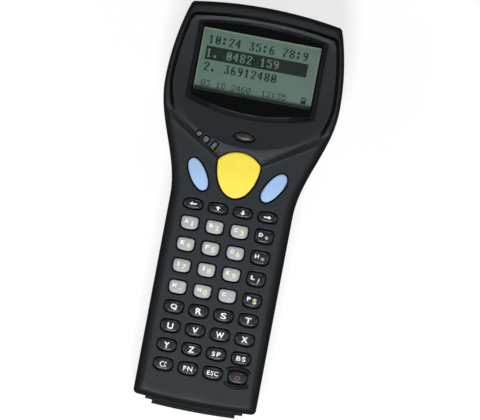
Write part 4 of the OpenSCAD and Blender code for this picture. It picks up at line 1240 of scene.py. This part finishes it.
# Turn of each arrow in degrees, then letter and figure, then letters and signs
SIGNS = [
    [180, 90, 270, 0],
    [("A", "1"), ("B", "2"), ("C", "3"), ("D", "+")],
    [("E", "4"), ("F", "5"), ("G", "6"), ("H", "*")],
    [("I", "7"), ("J", "8"), ("K", "9"), ("L", "/")],
    [("M", "-"), ("N", "0"), ("O", "."), ("P", "$")],
    ["Q", "R", "S", "T"],
    ["U", "V", "W", "X"],
    ["Y", "Z", "SP", "BS"],
    ["α", "FN", "ESC", "power"],
]
# Width, height and place on the key of each kind of figure, in millimetres
FIGURE_FORMS = {
    "-": (1.5, 0.42, -0.75), ".": (0.5, 0.5, -0.85), "+": (1.55, 1.55, -0.4), "*": (1.6, 1.5, -0.4),
    "/": (0.95, 2.1, -0.35), "1": (0.85, 2.15, -0.25), "$": (1.75, 2.5, -0.2),
}
# How much bolder each figure or sign is drawn, in millimetres
FIGURE_BOLD = {"1": 0.04, "$": 0.02, "*": 0.0, "+": 0.03, "8": 0.07}
SIGN_BOLD = {"α": 0.0, "S": 0.05, "Q": 0.13}
SMALL_WIDE = {"I": 0.65, "J": 1.3}
WIDE_SIGNS = {"W": 3.4, "SP": 3.7, "BS": 3.9, "FN": 3.9, "ESC": 4.7, "α": 2.8, "Q": 2.9, "T": 2.5, "X": 2.8}


def key_signs(r, sign, x, y):
    """An arrow, a letter with its yellow figure, or one sign: what a key of row r carries."""
    if r == 0:
        return [(arrow_sign(sign), (x, y), INK_WHITE)]
    if r <= 4:
        small, figure = sign
        wide, tall, drop = FIGURE_FORMS.get(figure, (1.8, 2.15, -0.25))
        letter = glyph(small, SMALL_WIDE.get(small, 1.7), 1.7, 0.13)
        number = glyph(figure, wide, tall, FIGURE_BOLD.get(figure, 0.1))
        return [(letter, (x - 1.4, y + 0.55), INK_WHITE), (number, (x + 1.1, y + drop), INK_YELLOW)]
    if sign == "power":
        return [(power_sign(), (x, y), INK_RED)]
    tall = 2.55 if len(sign) == 1 else 1.95
    tall = 2.3 if sign == "α" else tall
    wide = WIDE_SIGNS.get(sign, 2.55)
    bold = SIGN_BOLD.get(sign, 0.09 if len(sign) == 1 else 0.07)
    return [(glyph(sign, wide, tall, bold, 1.25), (x, y), INK_WHITE)]


for r, row in enumerate(KEY_ROWS):
    for c, name in enumerate(row):
        printed("print_" + name, key_signs(r, SIGNS[r][c], *centre(name)), CROWNS[name], name)


# ---------------------------------------------------------------- screen
def lens_piece():
    """The clear sheet over the screen, bowed at its two long edges."""
    obj = solid("lens_sheet", slab_rings(eye_outline(0), LENS_LOW[2], LENS_HIGH[2], 0.1, 0.08), LENS)
    dress(obj, "housing", "display_lens")


def lcd_piece():
    """The screen's own glass, seated in its bezel."""
    middle = (LCD_LOW + LCD_HIGH) / 2
    loop = rounded_rect(LCD_HIGH[0] - LCD_LOW[0], LCD_HIGH[1] - LCD_LOW[1], 0.3) + middle[:2]
    obj = solid("lcd_cell", slab_rings(loop, LCD_LOW[2], LCD_HIGH[2], 0.1, 0.1), LCD_GLASS)
    dress(obj, "housing", "lcd_module")


# Five by seven figures of a character display, a row of dots for each number
FIGURES = {
    "0": (14, 17, 19, 21, 25, 17, 14), "1": (4, 12, 4, 4, 4, 4, 14), "2": (14, 17, 1, 2, 4, 8, 31),
    "3": (31, 2, 4, 2, 1, 17, 14), "4": (2, 6, 10, 18, 31, 2, 2), "5": (31, 16, 30, 1, 1, 17, 14),
    "6": (6, 8, 16, 30, 17, 17, 14), "7": (31, 1, 2, 4, 8, 8, 8), "8": (14, 17, 17, 14, 17, 17, 14),
    "9": (14, 17, 17, 15, 1, 2, 12), ":": (0, 12, 12, 0, 12, 12, 0), ".": (0, 0, 0, 0, 0, 12, 12),
    "-": (0, 0, 0, 31, 0, 0, 0), " ": (0, 0, 0, 0, 0, 0, 0),
}
DOT = 0.357
DOTS_X, DOTS_Y = -22.85, VIEW_MID + 11.4
TALL_ROWS = (0, 1, 1, 2, 3, 3, 4, 5, 5, 6)


def dots_of(text, column, row, tall):
    """Column and row of every dark dot of a line of figures."""
    lit = set()
    for k, sign in enumerate(text):
        rows = FIGURES[sign]
        source = TALL_ROWS if tall else range(7)
        width = 8 if tall else 6
        for j, s in enumerate(source):
            for i in range(5):
                if rows[s] >> (4 - i) & 1:
                    lit.add((column + k * width + i, row + j))
                    if tall:
                        lit.add((column + k * width + i + 1, row + j))
    return lit


def screen_figures():
    """Four lines of plain figures, the second one in a dark bar, and the mark of a cell."""
    lit = dots_of("10:24 35:6 78:9", 2, 3, True)
    bar_dots = {(i, j) for i in range(1, 122) for j in range(16, 32)}
    lit |= bar_dots - dots_of("1. 0482 159", 2, 19, True)
    lit |= dots_of("2. 36912480", 2, 35, True)
    lit |= dots_of("03 18 2460  12:35", 2, 56, False)
    cell = {(i, j) for i in range(121, 127) for j in range(56, 63)} | {(123, 55), (124, 55)}
    lit |= cell - {(i, j) for i in range(122, 126) for j in range(57, 59)}
    z = LCD_HIGH[2] + 0.012
    places = [(DOTS_X + (i + 0.5) * DOT, DOTS_Y - (j + 0.5) * DOT, z) for i, j in sorted(lit)]
    unit = block("dot", [-0.5, -0.5, -0.5], [0.5, 0.5, 0.5])
    obj = repeated("lcd_figures", unit, places, LCD_DARK, (DOT * 0.94, DOT * 0.94, 0.02), 30)
    dress(obj, "housing", None)


DOME_RISE = 0.3


def status_piece():
    """Smoked oval dome in a black rim, its flange under the face."""
    loop = status_outline(0)
    middle = np.array([0, STATUS_Y])
    shell = Shell()
    rim = [(0.8, CEIL_Z - 0.6), (0.8, CEIL_Z), (0, CEIL_Z), (0, STATUS_Z - 0.45), (-0.1, STATUS_Z - 0.32),
           (-0.3, STATUS_Z - 0.3), (-0.62, STATUS_Z - 0.55)]
    shell.loft([flat_ring(grown(loop, d), z) for d, z in rim], True, finish=1)
    inner = grown(loop, -0.62)
    dome = [flat_ring(inner, STATUS_Z - 0.55)]
    for share in (0.97, 0.9, 0.78, 0.62, 0.45, 0.25, 0.08):
        flat = middle + (inner - middle) * share
        dome.append(flat_ring(flat, STATUS_Z - 0.55 + DOME_RISE * math.sqrt(1 - share ** 2)))
    shell.loft(dome, False, True)
    obj = shell.object("status_window", [SMOKED_PAINTED_STREAKS, RUBBER], sharp=60)
    dress(obj, "housing", "status_lens")


def light_pieces():
    """The three indicator windows on the strip that joins them under the face."""
    shell = Shell()
    for i in range(len(LIGHTS)):
        loop = light_outline(i, 0)
        height = float(key_side_height(np.array([LIGHTS[i][:2]]))[0]) - 0.15
        shell.loft(slab_rings(loop, CEIL_Z - 0.9, height, 0, 0.2), True, True)
    x = (LIGHTS[0][0] + LIGHTS[2][0]) / 2
    y = (LIGHTS[0][1] + LIGHTS[2][1]) / 2
    strip = placed(rounded_rect(11.2, 4.2, 0.5), x, y, -30)
    shell.loft(slab_rings(strip, CEIL_Z - 0.9, CEIL_Z, 0.1, 0.1), True, True)
    obj = shell.object("indicator_windows", [MILKY], weld=False)
    dress(obj, "housing", "light_pipe")


# ---------------------------------------------------------------- back pieces
def cover_piece():
    """Battery cover: hinge barrel and pins at one end, a tab for the lock at the other, and grooves."""
    loop = rounded_rect(2 * COVER_HALF, COVER_TOP - HINGE_Y, 0.5) + [0, (COVER_TOP + HINGE_Y) / 2]
    cover = solid("battery_door", slab_rings(loop, COVER_Z, COVER_Z + COVER_T, 0.35, 0.2), ABS_BACK)
    tab_z = COVER_Z + COVER_T
    post = block("post", [-5, COVER_TOP - 0.62, tab_z - 0.2], [5, COVER_TOP - 0.02, tab_z + 1.8])
    tab = block("tab", [-5, COVER_TOP - 0.6, tab_z + 0.6], [5, COVER_TOP + 2.8, tab_z + 1.8])
    cut(cover, [post, tab, bar("barrel", COVER_HALF, HINGE_Y, HINGE_Z, COVER_T / 2, 48, 0.2),
                bar("pins", COVER_HALF + 1.2, HINGE_Y, HINGE_Z, PIN_R, 32, 0.15)], "UNION")
    groove = bar("groove", 12, 0, 0, 0.8, 24)
    places = [(0, COVER_TOP - 6 - 2.4 * i, COVER_Z - 0.35) for i in range(5)]
    grooves = repeated("grooves", groove, places, ABS_BACK)
    cut(cover, [grooves])
    smoothed(cover, 32)
    dress(cover, "cover", "battery_cover")


def lock_piece():
    """Slide that holds the cover's tab: a plate with grooves, on two rails inside the housing."""
    y0, y1 = LOCK_LOW[1], LOCK_HIGH[1]
    loop = rounded_rect(2 * LOCK_HALF, y1 - y0, 0.6) + [0, (y0 + y1) / 2]
    lock = solid("lock_slide", slab_rings(loop, COVER_Z + 0.1, WALL, 0.3, 0.1), BLACK_PART)
    rails = []
    for s in (-1, 1):
        rails.append(block("neck", [s * 7.1 - 0.9, y0 + 1, WALL - 0.1], [s * 7.1 + 0.9, y1 - 1, WALL + 0.8]))
        rails.append(block("rail", [s * 8 - 1.8, y0 + 1, WALL + 0.3], [s * 8 + 1.8, y1 - 1, WALL + 1.3]))
    cut(lock, rails, "UNION")
    groove = bar("groove", 6, 0, 0, 0.7, 24)
    places = [(0, y0 + 1.7 + 2 * i, COVER_Z - 0.2) for i in range(3)]
    cut(lock, [repeated("grooves", groove, places, BLACK_PART)])
    smoothed(lock, 32)
    dress(lock, "lock", "battery_lock")


def seal_piece():
    """Rubber ring in the seam between the housings, its outer face slightly rounded."""
    shell = Shell()
    mid = (SEAM_Z + SEAM_TOP) / 2
    shell.tube([ring(0.6, SEAM_Z), ring(0.47, SEAM_Z + 0.12), ring(0.45, mid), ring(0.47, SEAM_TOP - 0.12),
                ring(0.6, SEAM_TOP), ring(1.9, SEAM_TOP), ring(1.9, SEAM_Z)])
    obj = shell.object("seam_seal", [RUBBER])
    dress(obj, "housing", "housing_seal")


def screw_pieces():
    """Four pan-head screws, head down in their wells, with a cross recess."""
    profile = [(1.35, 0), (1.75, 0.15), (1.95, 0.5), (1.95, 1.7), (1.2, 1.7), (1.2, 13.8), (0.9, 14.2)]
    unit = solid("screw", [flat_ring(circle(40) * r, z) for r, z in profile])
    cut(unit, [block("arm", [-w, -h, -0.5], [w, h, 0.8]) for w, h in ((1.25, 0.25), (0.25, 1.25))])
    places = [(x, y, SCREW_SEAT - 1.7) for x, y in SCREWS]
    obj = repeated("case_screws", unit, places, ZINC)
    dress(obj, "housing", "housing_screws")


def dock_pins():
    """Five contact pins in the foot, domed at their ends."""
    low, high = box("dock_contacts")
    profile = [(0.55, 0), (0.85, 0.1), (1.05, 0.3), (1.1, 0.55), (1.1, 4.0)]
    unit = solid("pin", [stood(circle(32) * r, y) for r, y in profile])
    z = (low[2] + high[2]) / 2
    places = [(5 * i, low[1] + float(bow(5 * i, FOOT_END_R / 2)), z) for i in range(-2, 3)]
    obj = repeated("dock_pins", unit, places, GOLD)
    dress(obj, "housing", "dock_contacts")


def scan_window_piece():
    """Red pane in the head's end, its outer edge rounded."""
    low, high = WINDOW_LOW, WINDOW_HIGH
    loop = rounded_rect(high[0] - low[0], high[2] - low[2], 0.8)
    mid = (low[2] + high[2]) / 2
    flats = slab_rings(loop, low[1], high[1], 0.1, 0.25)
    obj = solid("scan_pane", [stood(f[:, :2] + [0, mid], f[0, 2]) for f in flats], WINDOW_RED)
    dress(obj, "housing", "scan_window")


def battery_piece():
    """Battery cells in shrink wrap, with well rounded edges."""
    low, high = BATTERY_LOW, BATTERY_HIGH
    loop = rounded_rect(high[0] - low[0], high[1] - low[1], 3, 9) + (low + high)[:2] / 2
    obj = solid("cell_pack", slab_rings(loop, low[2], high[2], 1.6, 1.6, 6), WRAP)
    dress(obj, "housing", "battery_pack")


front_housing()
rear_housing()
foot_piece("foot_step", 20.7, 1.2, FOOT_Z - 1.5, FOOT_H + 3)
foot_piece("dock_foot", 17.7, 2.65, FOOT_Z, FOOT_H)
for make in (lens_piece, lcd_piece, screen_figures, status_piece, light_pieces, cover_piece,
             lock_piece, seal_piece, screw_pieces, dock_pins, scan_window_piece, battery_piece):
    make()

# CAD nodes that stay, with the finish of the real part
INNER = {
    "lens_seal": RUBBER, "lcd_bezel": ZINC, "keypad_mat": MAT, "front_board": BOARD,
    "main_board": BOARD, "beeper": BLACK_PART, "scan_engine": BLACK_PART, "battery_contacts": GOLD,
}
for name, finish in INNER.items():
    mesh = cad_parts[name].data
    mesh.materials.clear()
    mesh.materials.append(finish)


# ---------------------------------------------------------------- floor, lights and camera
FLOOR_HALF = 3.0
PAPER_GLOW = 0.77
# Name, place and width in metres, and power in watts. The one past the foot gives the body its
# sheen; the three round about are small, for the fine lines on the keys' rims.
LAMPS = (
    ("softbox_foot", (0.02, -0.45, 0.98), 0.26, 10.0),
    ("softbox_left", (-0.78, -0.18, 0.80), 0.17, 1.3),
    ("softbox_right", (0.78, -0.10, 0.80), 0.17, 0.95),
    ("softbox_head", (0.10, 0.72, 0.85), 0.17, 1.0),
)


def white_floor():
    """Paper on the table: white to the eye, grey to the light, so that it keeps a soft shadow."""
    mesh = bpy.data.meshes.new("floor")
    corners = [(x * FLOOR_HALF, y * FLOOR_HALF, 0) for x, y in ((-1, -1), (1, -1), (1, 1), (-1, 1))]
    mesh.from_pydata(corners, [], [[0, 1, 2, 3]])
    floor = linked("floor", mesh)
    floor.location.z = -0.0002
    m, tree = new_material("paper_white")
    where = add(tree, "ShaderNodeTexCoord").outputs["Object"]
    cloud = add(tree, "ShaderNodeTexNoise", {"Vector": where, "Scale": 4.0, "Detail": 2.0})
    tone = add(tree, "ShaderNodeMix", {0: cloud.outputs["Fac"], MIX_A: "#868686", MIX_B: "#8a8a8a"},
               data_type="RGBA")
    ray = add(tree, "ShaderNodeLightPath")
    seen = add(tree, "ShaderNodeMath", {0: ray.outputs["Is Camera Ray"], 1: ray.outputs["Is Glossy Ray"]},
               operation="MAXIMUM")
    seen = add(tree, "ShaderNodeMath", {0: seen.outputs[0], 1: ray.outputs["Is Transmission Ray"]},
               operation="MAXIMUM")
    glow = add(tree, "ShaderNodeMath", {0: seen.outputs[0], 1: PAPER_GLOW}, operation="MULTIPLY")
    paper = add(tree, "ShaderNodeBsdfPrincipled",
                {"Base Color": tone.outputs[MIX_OUT], "Roughness": 0.9, "Specular IOR Level": 0.1,
                 "Emission Color": "#ffffff", "Emission Strength": glow.outputs[0]})
    add(tree, "ShaderNodeOutputMaterial", {"Surface": paper.outputs[0]})
    mesh.materials.append(m)


def dim_room():
    """White at the horizon and dim above it, so that black surfaces keep their depth."""
    world = bpy.data.worlds.new("studio")
    bpy.context.scene.world = world
    world.use_nodes = True
    tree = world.node_tree
    tree.nodes.clear()
    where = add(tree, "ShaderNodeTexCoord").outputs["Generated"]
    part = add(tree, "ShaderNodeSeparateXYZ", {"Vector": where})
    height = add(tree, "ShaderNodeMath", {0: part.outputs["Z"]}, operation="ABSOLUTE")
    level = add(tree, "ShaderNodeMapRange", {"Value": height.outputs[0], "From Min": 0.02, "From Max": 0.07,
                                             "To Min": 1.0, "To Max": 0.06})
    sky = add(tree, "ShaderNodeBackground", {"Color": "#ffffff", "Strength": level.outputs["Result"]})
    add(tree, "ShaderNodeOutputWorld", {"Surface": sky.outputs[0]})


def lamps():
    """Square soft lamps round the terminal, each turned to the origin."""
    for name, place, wide, power in LAMPS:
        lamp = bpy.data.lights.new(name, "AREA")
        lamp.size = wide
        lamp.energy = power
        obj = linked(name, lamp)
        obj.location = place
        obj.rotation_mode = "QUATERNION"
        obj.rotation_quaternion = Vector(place).to_track_quat("Z", "Y")


# The photograph's frame: it looks straight down, rolled, at this point of the object
ROLL_DEG = 10.7
LOOK = (3.85, 1.0)
FRAME_W = 200.6
LENS_MM = 800.0
SENSOR_MM = 36.0
OUTLINE_Z = 29.0


def camera():
    """A long lens straight over the terminal, so that nearly nothing of its sides is seen."""
    data = bpy.data.cameras.new("camera")
    data.lens = LENS_MM
    data.sensor_width = SENSOR_MM
    away = FRAME_W / SENSOR_MM * LENS_MM
    data.clip_start, data.clip_end = 0.05, 20
    obj = linked("camera", data)
    obj.location = (LOOK[0] * MM, LOOK[1] * MM, (OUTLINE_Z + away) * MM)
    obj.rotation_euler = (0, 0, math.radians(ROLL_DEG))
    bpy.context.scene.camera = obj


white_floor()
dim_room()
lamps()
camera()
bpy.context.scene.view_settings.view_transform = "Standard"

for spare in list(bpy.data.meshes):
    if spare.users == 0:
        bpy.data.meshes.remove(spare)
bpy.context.view_layer.update()
